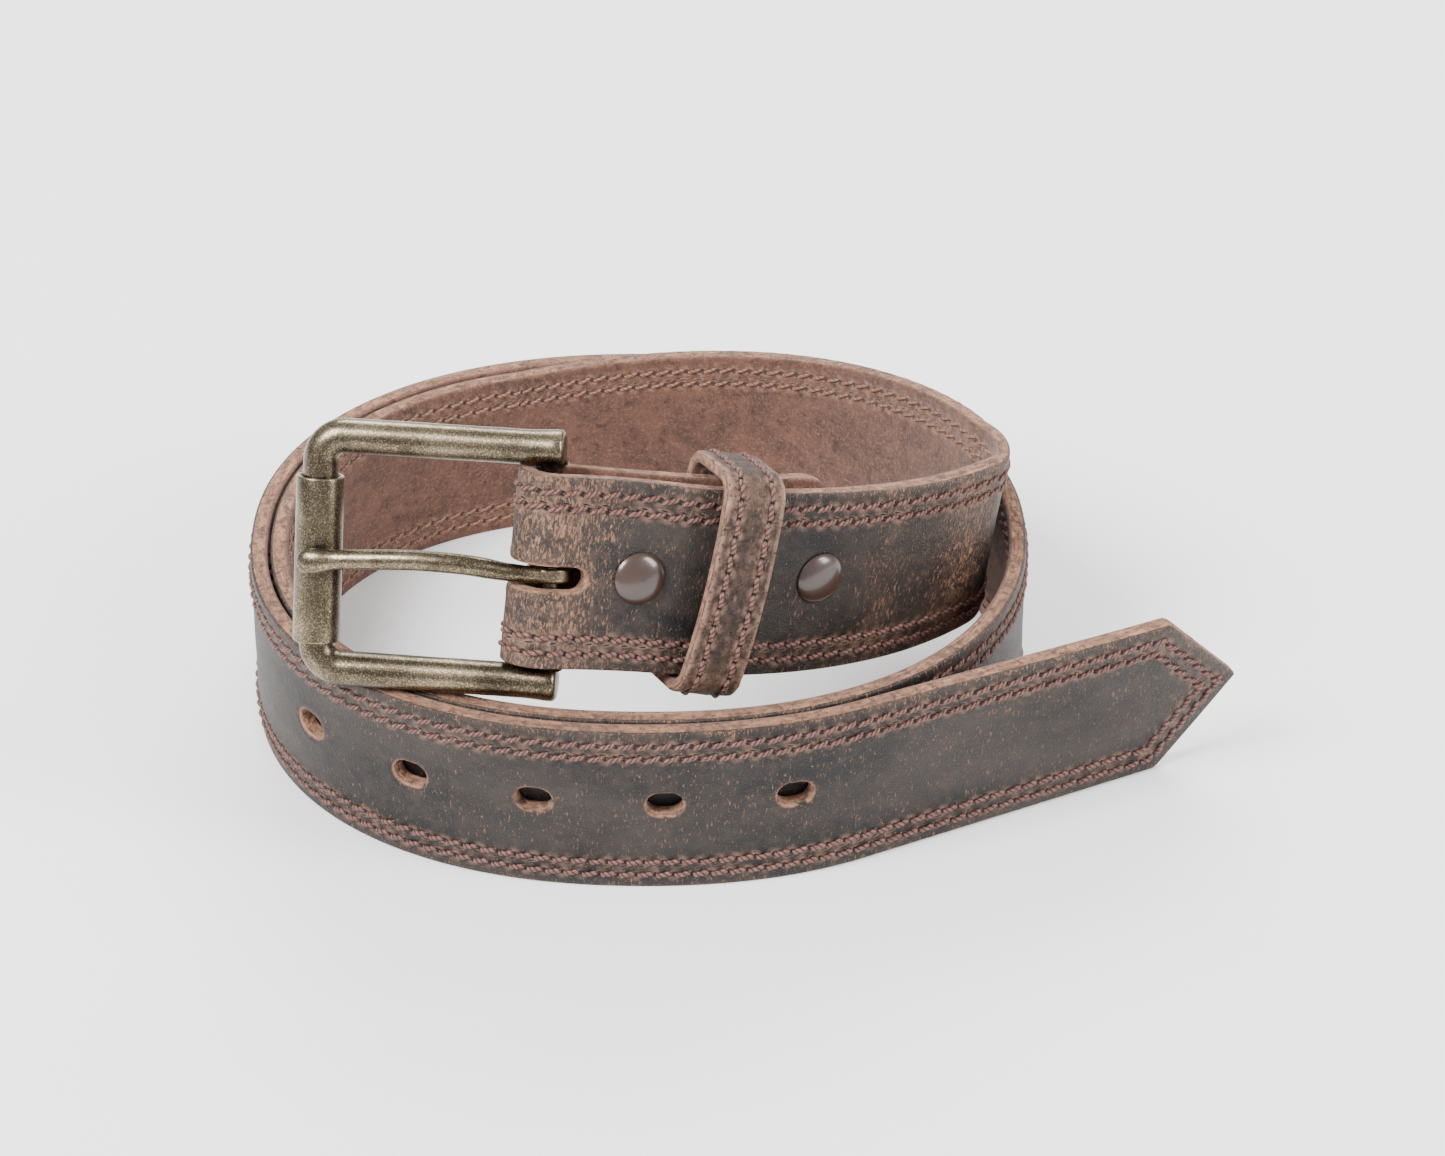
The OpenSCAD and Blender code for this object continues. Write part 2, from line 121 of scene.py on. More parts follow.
def plan():
    """The coil's floor plan from the fold to the tip, with the distance along it."""
    coil = coil_points()
    tail = run_points(coil[0], heading_of(coil[0] - coil[1]), TAIL_RUNS, 1)
    inner = run_points(coil[-1], heading_of(coil[-1] - coil[-2]), INNER_RUNS, -1)
    points = np.array(tail[::-1] + list(coil) + inner)[::-1]
    steps = np.linalg.norm(np.diff(points, axis=0), axis=1)
    return points, np.concatenate([[0], np.cumsum(steps)])


PLAN, PLAN_D = plan()
STRAP_LEN = PLAN_D[-1]


def lean(d):
    """How far the strap leans outward at d, in radians."""
    back = LEAN_NOSE + (LEAN_BACK - LEAN_NOSE) * smooth(d / LEAN_TURN)
    fade = -LEAN_BACK * smooth((d - LEAN_TURN) / LEAN_FADE)
    return np.radians(back + fade + LEAN_TIP * smooth((LEAN_TAIL - STRAP_LEN + d) / LEAN_TAIL))


def foot(d):
    lift = LIFT_NOSE * np.maximum(1 - d / LIFT_RUN, 0) ** LIFT_POW
    z = lift + STRAP_T / 2 * np.abs(np.sin(lean(d)))
    return columns(np.interp(d, PLAN_D, PLAN[:, 0]), np.interp(d, PLAN_D, PLAN[:, 1]), z)


def strap_axes(d):
    """Lower edge of the leather at d, and the directions along, up and out there."""
    d = np.asarray(d, float)
    t = unit(foot(np.maximum(d - 1, 0)) - foot(np.minimum(d + 1, STRAP_LEN)))
    z = unit(np.array([0, 0, 1.0]) - t[..., 2:] * t)
    f = lean(d)[..., None]
    up = np.cos(f) * z - np.sin(f) * np.cross(z, t)
    return foot(d), t, up, np.cross(up, t)


# The strap's flat pattern: p runs from the flap's end, round the fold, to the tip. h runs up from the lower
# edge and o outward from the leather's middle.
FOLD_P0 = FLAP_LEN + FOLD_EXTRA
FOLD_P1 = FOLD_P0 + math.pi * FOLD_MID_R
PATTERN_LEN = FOLD_P1 + STRAP_LEN - (HEEL_D - FOLD_EXTRA)


def pattern_frames():
    """The strap's middle surface every half millimetre of p: places, up and outward normals."""
    p = np.arange(0, PATTERN_LEN + 0.5, 0.5)
    d = np.where(p < FOLD_P0, HEEL_D + FLAP_LEN - p, HEEL_D - FOLD_EXTRA + np.maximum(p - FOLD_P1, 0))
    d = np.clip(d, 0, STRAP_LEN)
    base, along, up, out = strap_axes(d)
    q = (FLAP_LEN - p)[:, None]
    gap = 2 * FOLD_MID_R + (FLAP_SEP - 2 * FOLD_MID_R) * smooth(q / FLAP_CLOSE_Q)
    rise = FLAP_RISE * smooth((q - FLAP_RISE_Q) / (FLAP_LEN - FLAP_RISE_Q))
    turn = np.radians(180 * (1 - np.clip((p - FOLD_P0) / (FOLD_P1 - FOLD_P0), 0, 1)))[:, None]
    normal = np.cos(turn) * out + np.sin(turn) * along
    on_flap = (p < FOLD_P0)[:, None]
    on_fold = ((p >= FOLD_P0) & (p < FOLD_P1))[:, None]
    flap = base - gap * out + rise * up
    fold = base - FOLD_MID_R * out + FOLD_MID_R * normal
    middle = np.where(on_flap, flap, np.where(on_fold, fold, base))
    return p, middle, up, normal


FRAME_P, FRAME_MID, FRAME_UP, FRAME_OUT = pattern_frames()


def pattern_at(p, table):
    return np.stack([np.interp(p, FRAME_P, table[:, k]) for k in range(3)], -1)


def on_strap(p, h, o):
    """Points of the real strap at p, h and o."""
    p, h, o = np.broadcast_arrays(*(np.asarray(v, float) for v in (p, h, o)))
    up = unit(pattern_at(p, FRAME_UP))
    out = unit(pattern_at(p, FRAME_OUT))
    return pattern_at(p, FRAME_MID) + h[..., None] * up + o[..., None] * out


# --- Mesh helpers ---

# Sines in a sum of wobbles, and how fast they run for its size
WAVES, WAVE_RATE = 7, 2.2


def in_scene(name, data):
    obj = bpy.data.objects.new(name, data)
    SCENE.collection.objects.link(obj)
    return obj


def make_piece(name, points, faces, materials, says, zones=None, attributes=()):
    """Makes a piece from points in millimetres. says is its body, a slot that is not used, and the node it
    replaces.
    """
    mesh = bpy.data.meshes.new(name)
    mesh.from_pydata((np.asarray(points) * MM).tolist(), [], [list(f) for f in faces])
    for material in materials:
        mesh.materials.append(MATERIALS[material])
    if zones is not None:
        mesh.polygons.foreach_set("material_index", np.asarray(zones, np.int32))
    mesh.polygons.foreach_set("use_smooth", [True] * len(mesh.polygons))
    for key, values in attributes:
        values = np.asarray(values, np.float32)
        kind, field = ("FLOAT_VECTOR", "vector") if values.ndim == 2 else ("FLOAT", "value")
        mesh.attributes.new(key, kind, "POINT").data.foreach_set(field, values.ravel())
    mesh.validate()
    obj = in_scene(name, mesh)
    body, slot, node = says
    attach(obj, body)
    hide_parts(node)


def circle(sides):
    """Angles right round a circle."""
    return np.linspace(0, 2 * math.pi, sides, endpoint=False)


def left_of(path):
    """Unit normals on the left of a path in a plane."""
    step = np.gradient(path, axis=0)
    return unit(columns(-step[:, 1], step[:, 0]))


def in_axes(local, origin, x, y, z):
    return origin + local[..., :1] * x + local[..., 1:2] * y + local[..., 2:] * z


def tube(rings, closed=False, caps=True):
    """Faces over rings of equal point counts. rings has the shape (n, m, 3)."""
    n, m = rings.shape[:2]
    faces = []
    for i in range(n if closed else n - 1):
        a, b = i * m, ((i + 1) % n) * m
        for j in range(m):
            k = (j + 1) % m
            faces.append((a + j, a + k, b + k, b + j))
    if caps and not closed:
        faces.append(tuple(range(m - 1, -1, -1)))
        faces.append(tuple((n - 1) * m + j for j in range(m)))
    return rings.reshape(-1, 3), faces


def wobble(points, size, seed):
    """Smooth noise from -1 to 1 at points in millimetres: a sum of sines in hashed directions."""
    r = np.random.default_rng(seed)
    total = np.zeros(points.shape[:-1])
    for _ in range(WAVES):
        k = r.normal(size=points.shape[-1]) / size * WAVE_RATE
        total += np.sin(points @ k + r.uniform(0, 2 * math.pi))
    return total / (WAVES / 2)


# --- Node helpers ---

# Distances from a needle hole's middle over which the painted shade in its pit, and the puff round it, fade
# out
HOLE_SHADE_FADE, PUFF_FADE = (0.4, 0.75), (0.7, 1.9)


class Nodes:
    """Builds one material's node tree."""

    def __init__(self, name):
        self.material = bpy.data.materials.new(name)
        self.material.use_nodes = True
        self.tree = self.material.node_tree
        self.tree.nodes.clear()
        self.shader = self.add("ShaderNodeBsdfPrincipled")
        out = self.add("ShaderNodeOutputMaterial")
        self.link(self.shader.outputs[0], out.inputs[0])

    def add(self, kind, **values):
        node = self.tree.nodes.new(kind)
        for key, value in values.items():
            setattr(node, key, value)
        return node

    def link(self, a, b):
        self.tree.links.new(a, b)

    def fill(self, node, **values):
        """Sets a node's inputs by name, with _ for a space."""
        for key, value in values.items():
            node.inputs[key.replace("_", " ")].default_value = value

    def put(self, value, socket):
        """Links a socket to another, or sets it to a number or an (r, g, b)."""
        if isinstance(value, bpy.types.NodeSocket):
            self.link(value, socket)
        elif isinstance(value, tuple):
            socket.default_value = (*value, 1)
        else:
            socket.default_value = value

    def texture(self, kind, vector, **values):
        node = self.add(kind)
        self.link(vector, node.inputs["Vector"])
        self.fill(node, **values)
        return node

    def attribute(self, name, output="Fac"):
        return self.add("ShaderNodeAttribute", attribute_name=name).outputs[output]

    def place(self, *scale):
        """Coordinates on the flat pattern in metres, stretched if three factors are given."""
        flat = self.attribute("flat", "Vector")
        return self.texture("ShaderNodeMapping", flat, Scale=scale or (1, 1, 1)).outputs[0]

    def object_place(self):
        return self.add("ShaderNodeTexCoord").outputs["Object"]

    def noise(self, vector, scale, detail, rough, distort=0.0):
        values = {"Scale": scale, "Detail": detail, "Roughness": rough, "Distortion": distort}
        return self.texture("ShaderNodeTexNoise", vector, **values).outputs["Fac"]

    def cells(self, vector, scale, feature="F1"):
        node = self.texture("ShaderNodeTexVoronoi", vector, Scale=scale)
        node.feature = feature
        return node.outputs["Distance"]

    def ramp(self, value, low, high, a=0.0, b=1.0):
        """Maps low..high of value to a..b, clamped."""
        node = self.add("ShaderNodeMapRange")
        self.link(value, node.inputs["Value"])
        self.fill(node, From_Min=low, From_Max=high, To_Min=a, To_Max=b)
        return node.outputs[0]

    def math(self, op, a, b=0.0):
        node = self.add("ShaderNodeMath", operation=op)
        self.put(a, node.inputs[0])
        self.put(b, node.inputs[1])
        return node.outputs[0]

    def plus(self, a, b):
        return self.math("ADD", a, b)

    def minus(self, a, b):
        return self.math("SUBTRACT", a, b)

    def times(self, a, b):
        return self.math("MULTIPLY", a, b)

    def needle_holes(self):
        """Masks of the painted shade in the pits at the needle holes, and of the puffs round them."""
        seam = self.add("ShaderNodeSeparateXYZ")
        self.link(self.attribute("seam", "Vector"), seam.inputs[0])
        turn = self.math("FRACT", seam.outputs[0])
        near = self.math("MINIMUM", turn, self.minus(1.0, turn))
        along = self.math("POWER", self.times(near, STITCH), 2.0)
        apart = self.math("POWER", self.math("ABSOLUTE", seam.outputs[1]), 2.0)
        reach = self.math("SQRT", self.plus(along, apart))
        return self.ramp(reach, *HOLE_SHADE_FADE, 1.0, 0.0), self.ramp(reach, *PUFF_FADE, 1.0, 0.0)

    def mix(self, factor, a, b):
        node = self.add("ShaderNodeMix", data_type="RGBA")
        self.put(factor, node.inputs[0])
        self.put(a, node.inputs[6])
        self.put(b, node.inputs[7])
        return node.outputs[2]

    def layers(self, base, *layers):
        """A base colour with (mask, colour) layers laid over it, in order."""
        for mask, colour in layers:
            base = self.mix(mask, base, colour)
        return base

    def finish(self, colour, rough, height=None, depth=0.0, strength=1.0, **others):
        """Sets the shader's colour, roughness, bump (depth in metres) and other inputs by name."""
        self.put(colour, self.shader.inputs["Base Color"])
        self.put(rough, self.shader.inputs["Roughness"])
        if height is not None:
            node = self.add("ShaderNodeBump")
            self.fill(node, Strength=strength, Distance=depth)
            self.link(height, node.inputs["Height"])
            self.link(node.outputs[0], self.shader.inputs["Normal"])
        self.fill(self.shader, **others)
        return self.material


# --- Materials ---
# noise takes a place, a scale per metre, detail, roughness and distortion. ramp takes a value, the range that
# it fades over and what it gives at each end of the range. Colours are linear (r, g, b).

# Near-black painted shade in the needle holes, which the mesh does not cut
HOLE_SHADE_COLOUR = (0.003, 0.0025, 0.0025)


def shade(colour, factor):
    return tuple(factor * c for c in colour)


def grain_material():
    """Waxed pull-up leather: near-black, with fine tan crackle where it is rubbed or bent, and scuffs."""
    n = Nodes("grain_leather")
    flat = n.place()
    broad = n.noise(n.place(0.4, 1.0, 1.0), 55, 5, 0.6)
    mottle = n.noise(flat, 330, 6, 0.66, 0.3)
    fine = n.noise(flat, 3200, 4, 0.65)
    # The wear here also carries a painted sheen towards the tip
    worn = n.attribute("wear")
    rubbed = n.math("MINIMUM", n.times(worn, 0.6), 0.6)
    rubbed_tone = n.mix(n.ramp(mottle, 0.4, 0.66), (0.02, 0.015, 0.013), (0.085, 0.05, 0.036))
    # Crackle: hair lines across the strap, dense where the leather is rubbed or bent
    lines = n.noise(n.place(1.0, 0.3, 1.0), 2700, 5, 0.65, 0.6)
    flakes = n.noise(n.place(1.3, 0.3, 1.0), 1150, 6, 0.7, 0.5)
    patch = n.ramp(n.noise(flat, 85, 4, 0.6), 0.42, 0.68, 0.0, 0.04)
    push = n.plus(patch, n.times(n.math("MINIMUM", worn, 1.0), 0.1))
    crack = n.ramp(n.plus(lines, push), 0.615, 0.7)
    flake = n.ramp(n.plus(flakes, push), 0.7, 0.76)
    scratch = n.ramp(n.noise(n.place(0.25, 2.6, 1.0), 420, 7, 0.75, 1.5), 0.665, 0.72)
    rim = n.ramp(n.attribute("rim"), 0.1, 0.6, 0.85, 0.0)
    hole_shade, puff = n.needle_holes()
    base = n.layers(
        n.mix(n.ramp(broad, 0.38, 0.66), (0.0045, 0.0044, 0.0047), (0.03, 0.0235, 0.0205)),
        (n.ramp(mottle, 0.45, 0.72, 0.0, 0.6), (0.05, 0.034, 0.026)),
        (rubbed, rubbed_tone),
        (n.times(crack, 0.65), (0.3, 0.155, 0.09)),
        (n.times(flake, 0.65), (0.34, 0.2, 0.14)),
        (n.times(scratch, 0.45), (0.22, 0.16, 0.125)),
        (n.times(rim, n.ramp(mottle, 0.38, 0.56)), (0.35, 0.175, 0.105)),
        (n.times(puff, n.ramp(mottle, 0.4, 0.6, 0.05, 0.8)), (0.2, 0.115, 0.08)),
        # Painted shade in the needle holes
        (hole_shade, HOLE_SHADE_COLOUR))
    pore = n.cells(flat, 1500, "DISTANCE_TO_EDGE")
    height = n.plus(n.times(n.ramp(pore, 0.0, 0.22), 0.6), n.times(fine, 0.6))
    height = n.minus(height, n.times(crack, 0.5))
    height = n.plus(height, n.times(mottle, 1.2))
    rough = n.plus(n.ramp(mottle, 0.3, 0.75, 0.42, 0.58), n.times(crack, 0.25))
    return n.finish(base, rough, height, 0.00012, 0.8, Specular_IOR_Level=0.3)


def flesh_material():
    """The flesh side: a short, rough, mottled nap, drawn up into pale crumbs round each needle hole."""
    n = Nodes("flesh_leather")
    flat = n.place()
    broad = n.noise(flat, 120, 6, 0.7, 0.8)
    nap = n.noise(flat, 1500, 5, 0.75)
    stain = n.noise(flat, 420, 5, 0.7)
    dark, light = (0.068, 0.027, 0.0165), (0.145, 0.06, 0.036)
    hole_shade, puff = n.needle_holes()
    base = n.layers(
        n.mix(n.ramp(broad, 0.36, 0.66), dark, light),
        (n.ramp(nap, 0.5, 0.66, 0.0, 0.65), (0.27, 0.13, 0.082)),
        (n.ramp(stain, 0.34, 0.46, 0.75, 0.0), shade(dark, 0.4)),
        (n.times(puff, n.ramp(nap, 0.38, 0.6, 0.05, 0.75)), (0.33, 0.19, 0.13)),
        # Painted shade in the needle holes
        (hole_shade, (0.05, 0.022, 0.016)))
    height = n.plus(nap, n.times(broad, 1.4))
    return n.finish(base, 0.95, height, 0.0004, 0.9, Sheen_Weight=0.15, Sheen_Roughness=0.5)


def edge_material():
    """The cut edge: pale and fibrous, redder and darker in places."""
    n = Nodes("cut_edge")
    flat = n.place()
    fibre = n.noise(n.place(0.3, 1.0, 1.0), 1300, 6, 0.78, 0.5)
    crumb = n.noise(flat, 620, 5, 0.7, 0.4)
    broad = n.noise(flat, 130, 5, 0.6)
    base = n.layers(
        n.mix(n.ramp(fibre, 0.38, 0.62), (0.12, 0.046, 0.023), (0.56, 0.275, 0.15)),
        (n.ramp(crumb, 0.4, 0.5, 0.8, 0.0), (0.045, 0.02, 0.012)),
        (n.ramp(broad, 0.42, 0.62, 0.0, 0.5), (0.19, 0.092, 0.055)))
    height = n.plus(fibre, n.times(crumb, 1.6))
    return n.finish(base, 0.95, height, 0.0009, 1.0, Sheen_Weight=0.1)


def thread_material(name, dark, light, groove):
    """Two plies laid together: their own colour along each ply's crown, and painted shade in the groove
    between them.
    """
    n = Nodes(name)
    fibre = n.noise(n.object_place(), 3000, 4, 0.6)
    # Mask of the painted shade in the groove between the plies
    twist = n.ramp(n.attribute("twist"), -0.75, 0.1, 0.85, 0.0)
    base = n.layers(n.mix(n.ramp(fibre, 0.36, 0.66), dark, light), (twist, groove))
    return n.finish(base, 0.6, fibre, 0.0001, 0.6, Specular_IOR_Level=0.3)


def brass_material(name, dark, mid, bright):
    """Antiqued brass: a smooth brown-black skin, finely speckled with bare metal, with a painted highlight on
    its convex edges.
    """
    n = Nodes(name)
    place = n.object_place()
    broad = n.noise(place, 75, 4, 0.6, 0.3)
    speck = n.noise(place, 3100, 4, 0.72)
    grime = n.noise(place, 1300, 5, 0.7)
    bare = n.plus(speck, n.times(broad, 0.25))
    edges = n.add("ShaderNodeNewGeometry").outputs["Pointiness"]
    base = n.layers(
        n.mix(n.ramp(broad, 0.34, 0.66), dark, mid),
        (n.ramp(grime, 0.34, 0.52, 0.35, 0.0), shade(dark, 0.6)),
        (n.ramp(bare, 0.62, 0.78, 0.0, 0.65), bright),
        # Painted highlight on the convex edges
        (n.ramp(edges, 0.53, 0.62, 0.0, 0.7), bright))
    rough = n.ramp(speck, 0.3, 0.7, 0.36, 0.27)
    return n.finish(base, rough, speck, 0.00002, 0.35, Metallic=1.0)


def enamel_material():
    """The caps' dark brown enamel: smooth and faintly clouded."""
    n = Nodes("snap_enamel")
    place = n.object_place()
    cloud = n.ramp(n.noise(place, 160, 4, 0.5), 0.35, 0.65)
    base = n.mix(cloud, (0.03, 0.015, 0.011), (0.04, 0.021, 0.0155))
    height = n.noise(place, 500, 2, 0.5)
    return n.finish(base, 0.3, height, 0.00001, 0.1, Coat_Weight=0.4, Coat_Roughness=0.03)


def keeper_material():
    """The keeper's grain side: rubbed to a pored pinkish tan at its top and darker below."""
    n = Nodes("keeper_leather")
    flat = n.place()
    pores = n.cells(n.place(1.0, 0.8, 1.0), 1350)
    mottle = n.noise(flat, 650, 6, 0.7, 0.3)
    broad = n.noise(flat, 170, 4, 0.6)
    fine = n.noise(flat, 2600, 4, 0.7)
    worn = n.attribute("wear")
    dark = n.mix(n.ramp(mottle, 0.36, 0.68), (0.014, 0.0095, 0.0078), (0.062, 0.036, 0.026))
    pale = n.mix(n.ramp(mottle, 0.36, 0.66), (0.115, 0.064, 0.043), (0.34, 0.2, 0.14))
    tone = n.plus(worn, n.times(broad, 0.6))
    spot = n.times(n.ramp(pores, 0.2, 0.36, 1.0, 0.0), n.ramp(mottle, 0.35, 0.6, 1.0, 0.4))
    lines = n.noise(n.place(0.3, 1.0, 1.0), 1900, 5, 0.65, 0.6)
    crack = n.ramp(n.plus(lines, n.times(worn, 0.08)), 0.6, 0.72)
    hole_shade, puff = n.needle_holes()
    base = n.layers(
        n.mix(n.ramp(tone, 0.35, 0.95), dark, pale),
        (n.times(spot, 0.8), (0.02, 0.013, 0.01)),
        (n.times(crack, 0.5), (0.3, 0.185, 0.132)),
        (n.times(puff, n.ramp(mottle, 0.38, 0.58, 0.05, 0.6)), (0.28, 0.17, 0.12)),
        # Painted shade in the needle holes
        (hole_shade, HOLE_SHADE_COLOUR))
    height = n.plus(mottle, n.times(fine, 0.6))
    height = n.minus(height, n.times(spot, 0.8))
    return n.finish(base, 0.62, height, 0.00022, 0.9, Specular_IOR_Level=0.22)


MATERIALS = {
    "grain": grain_material(),
    "flesh": flesh_material(),
    "edge": edge_material(),
    # The last colour of each thread is the painted shade in its ply groove
    "thread": thread_material(
        "waxed_thread", (0.08, 0.033, 0.0275), (0.235, 0.12, 0.098), (0.014, 0.006, 0.005)),
    "bobbin": thread_material(
        "pale_thread", (0.16, 0.075, 0.048), (0.38, 0.21, 0.14), (0.07, 0.03, 0.02)),
    "brass": brass_material(
        "antique_brass", (0.05, 0.04, 0.028), (0.135, 0.111, 0.078), (0.56, 0.44, 0.27)),
    "plated": brass_material(
        "snap_plating", (0.12, 0.095, 0.06), (0.28, 0.23, 0.15), (0.55, 0.47, 0.33)),
    "enamel": enamel_material(),
    "keeper": keeper_material(),
}


def dress(node, material):
    """Gives a CAD node that keeps its own shape this script's material."""
    materials = frame["nodes"][node].data.materials
    materials.clear()
    materials.append(MATERIALS[material])


# --- Strap mesh, laid out on the flat pattern and then wrapped on the route ---

EDGE_ROUND, RIM_ROUND = 0.55, 0.4
FAR = 99.0
SNAPS = {"buckle_side": (14.5, 19.0), "tip_side": (51.8, 20.2)}
# Round a snap the leather is pressed flat out to SEAT_R
SEAT_R, SEAT_FADE, SEAT_REACH, SEAT_SINK = 5.6, 3, 14, 0.02
OUTER_ROW, INNER_ROW = ROWS = (3.2, 6.3)
ROW_PHASE = {OUTER_ROW: 0.0, INNER_ROW: 0.42}
ROW_START = 6.0
TIP_SLOPE = HALF_W / TIP_LEN
TIP_TURN = math.atan(TIP_SLOPE)
TIP_COS, TIP_SIN = math.cos(TIP_TURN), math.sin(TIP_TURN)
TIP_BLUNT = 0.35
# The grid's columns up from the lower edge, and its rows at the flap's end, between and at the tip
GRID_H = (0, 0.12, 0.3, 0.6, 1.2, 2.0, 2.6, 3.0, 3.4, 3.9, 4.7, 5.5, 6.0, 6.3, 6.7, 7.3, 8.6, 10.2, 11.8,
          13.4, 15.2, 17.1, 19.0)
GRID_FLAP, GRID_STEP, GRID_TIP = (0, 0.12, 0.3, 0.6, 1.1), 1.08, (1.2, 0.7, 0.4, 0.15, 0)
# Rings from a grid window to its opening's rim, and down a cut edge
PATCH_RINGS = (0.22, 0.42, 0.6, 0.74, 0.85, 0.93, 0.975, 1.0)
WALL_RINGS = (0.62, 0.22, -0.22, -0.62)
GRAIN, FLESH, EDGE = 0, 1, 2
# Creases: distance past the fold, half-width and depth of the wear
CREASES = ((-2, 12, 1.1), (68, 5, 0.5), (90, 9, 1.0), (112, 9, 0.4))
# The leather is rubbed this far from the slot's middle line
SLOT_RUB = 2.5


def half_width(p):
    """Half of the pattern's width at p, less at the flap's round corners and the point."""
    u = np.maximum(FLAP_CORNER - p, 0)
    corner = HALF_W - FLAP_CORNER + np.sqrt(np.maximum(FLAP_CORNER ** 2 - u ** 2, 0))
    point = np.maximum(PATTERN_LEN - p, 0) * TIP_SLOPE + TIP_BLUNT
    return np.minimum(np.minimum(corner, point), HALF_W)


def row_shoulder(inset):
    """Where a row at this inset leaves the long edge and turns towards the point."""
    room = inset * math.sqrt(1 + TIP_SLOPE ** 2)
    return PATTERN_LEN - (HALF_W - inset + room) / TIP_SLOPE


def row_points(a, inset, side, lateral):
    """Pattern places at length a along a row, moved sideways. side is -1 for the lower edge, or 1."""
    shoulder = row_shoulder(inset)
    past = np.maximum(a - shoulder, 0)
    turned = past > 0
    p = np.where(turned, shoulder + past * TIP_COS - lateral * TIP_SIN, a)
    h = np.where(turned, inset + past * TIP_SIN + lateral * TIP_COS, inset + lateral)
    return p, np.where(side < 0, h, STRAP_W - h)


def seam_place(p, h):
    """A place's length in stitches along its nearest row, and its distance from that row."""
    from_edge = np.minimum(h, STRAP_W - h)
    best = np.full(p.shape, FAR)
    along = np.zeros(p.shape)
    for inset in ROWS:
        shoulder = row_shoulder(inset)
        past, inside = p - shoulder, from_edge - inset
        a = np.where(past > 0, shoulder + past * TIP_COS + inside * TIP_SIN, p)
        off = np.where(past > 0, -past * TIP_SIN + inside * TIP_COS, inside)
        nearer = np.abs(off) < np.abs(best)
        best = np.where(nearer, off, best)
        along = np.where(nearer, (a - ROW_START) / STITCH - ROW_PHASE[inset], along)
    best = np.where(p < ROW_START - 1, FAR, best)
    return along, best


SLOT_C = (FOLD_P0 + FOLD_P1) / 2
SLOT_RUN = (FOLD_P1 - FOLD_P0) / 2 + FOLD_EXTRA + SLOT_END_Q - SLOT_HALF
HOLE_PATCH = (HOLE_L / 2 + 3.6, HOLE_H / 2 + 3.2)
SLOT_PATCH = (SLOT_RUN + SLOT_HALF + 3.5, SLOT_HALF + 3.2)
# Each opening is (p, h, straight half-length, radius, half-size of the grid window round it)
OPENINGS = [(PATTERN_LEN - FIRST_HOLE - HOLE_PITCH * k, HALF_W + HOLE_UP, (HOLE_L - HOLE_H) / 2,
             HOLE_H / 2, HOLE_PATCH) for k in range(HOLE_COUNT)]
OPENINGS.append((SLOT_C, HALF_W + SLOT_UP, SLOT_RUN, SLOT_HALF, SLOT_PATCH))


def opening_distance(p, h):
    """Distance from the nearest opening's rim, negative inside it."""
    best = np.full(p.shape, FAR)
    for p0, h0, run, radius, _ in OPENINGS:
        x = np.maximum(np.abs(p - p0) - run, 0)
        best = np.minimum(best, np.hypot(x, h - h0) - radius)
    return best


def edge_distance(p, h):
    side = half_width(p) - np.abs(h - HALF_W)
    slant = np.where(p > PATTERN_LEN - TIP_LEN, TIP_COS, 1.0)
    return np.maximum(np.minimum(side * slant, p), 0)


def rounding(distance, radius):
    """Drop of a face at a distance from an edge rounded with this radius."""
    return radius - np.sqrt(np.maximum(radius ** 2 - np.maximum(radius - distance, 0) ** 2, 0))


def face_offset(p, h, face):
    """Height of the leather's face over its middle, with rounded edges, stitch channels and puckers."""
    e = edge_distance(p, h)
    hole = np.maximum(opening_distance(p, h), 0)
    along, off = seam_place(p, h)
    pull = 0.5 + 0.5 * np.cos(2 * math.pi * along)
    channel = bump(off, 0.55) * (0.1 + 0.16 * pull)
    puff = bump(np.abs(off) - 1.0, 0.6) * 0.09 * pull
    swell = 0.16 * bump(hole - 1.3, 0.9) - 0.1 * bump(hole, 0.7)
    place = columns(p, h)
    relief = 0.045 * wobble(place * (0.35, 1), 9, 21 + face) + 0.03 * wobble(place, 2.6, 31 + face)
    if face < 0:
        relief = relief * 1.5
    drop, rim = rounding(e, EDGE_ROUND), rounding(hole, RIM_ROUND)
    return STRAP_T / 2 - drop - rim - channel + puff + swell + relief * smooth(e / 1.5)


def wear_and_sheen_at(p, h):
    """How rubbed the grain is: edges, rims, the slot, seams and creases; and a painted sheen towards the tip.
    """
    front = p - FOLD_P1
    creases = sum(depth * bump(front - at, wide) for at, wide, depth in CREASES)
    # Lighter towards the tip: painted sheen, carried in the wear
    creases = creases + 0.1 * smooth((front - 820) / 120)
    seams = 0.12 * bump((np.minimum(h, STRAP_W - h) - sum(ROWS) / 2) / 3.4, 1.0)
    from_slot = np.hypot(np.maximum(np.abs(p - SLOT_C) - SLOT_RUN, 0), h - HALF_W - SLOT_UP)
    slot = 0.4 * bump(np.maximum(from_slot - SLOT_RUB, 0), 3.0)
    rims = 0.3 * bump(opening_distance(p, h), 1.2)
    return 0.6 * bump(edge_distance(p, h), 1.1) + creases + slot + rims + seams


def strap_grid():
    p_mid = np.arange(1.8, PATTERN_LEN - 1.6, GRID_STEP)
    p = np.concatenate([GRID_FLAP, p_mid, PATTERN_LEN - np.array(GRID_TIP)])
    low = np.array(GRID_H)
    frac = np.concatenate([low, (STRAP_W - low[:-1])[::-1]]) / STRAP_W - 0.5
    half = half_width(p)
    h = HALF_W + 2 * half[:, None] * frac[None, :]
    return np.repeat(p[:, None], len(frac), 1), h


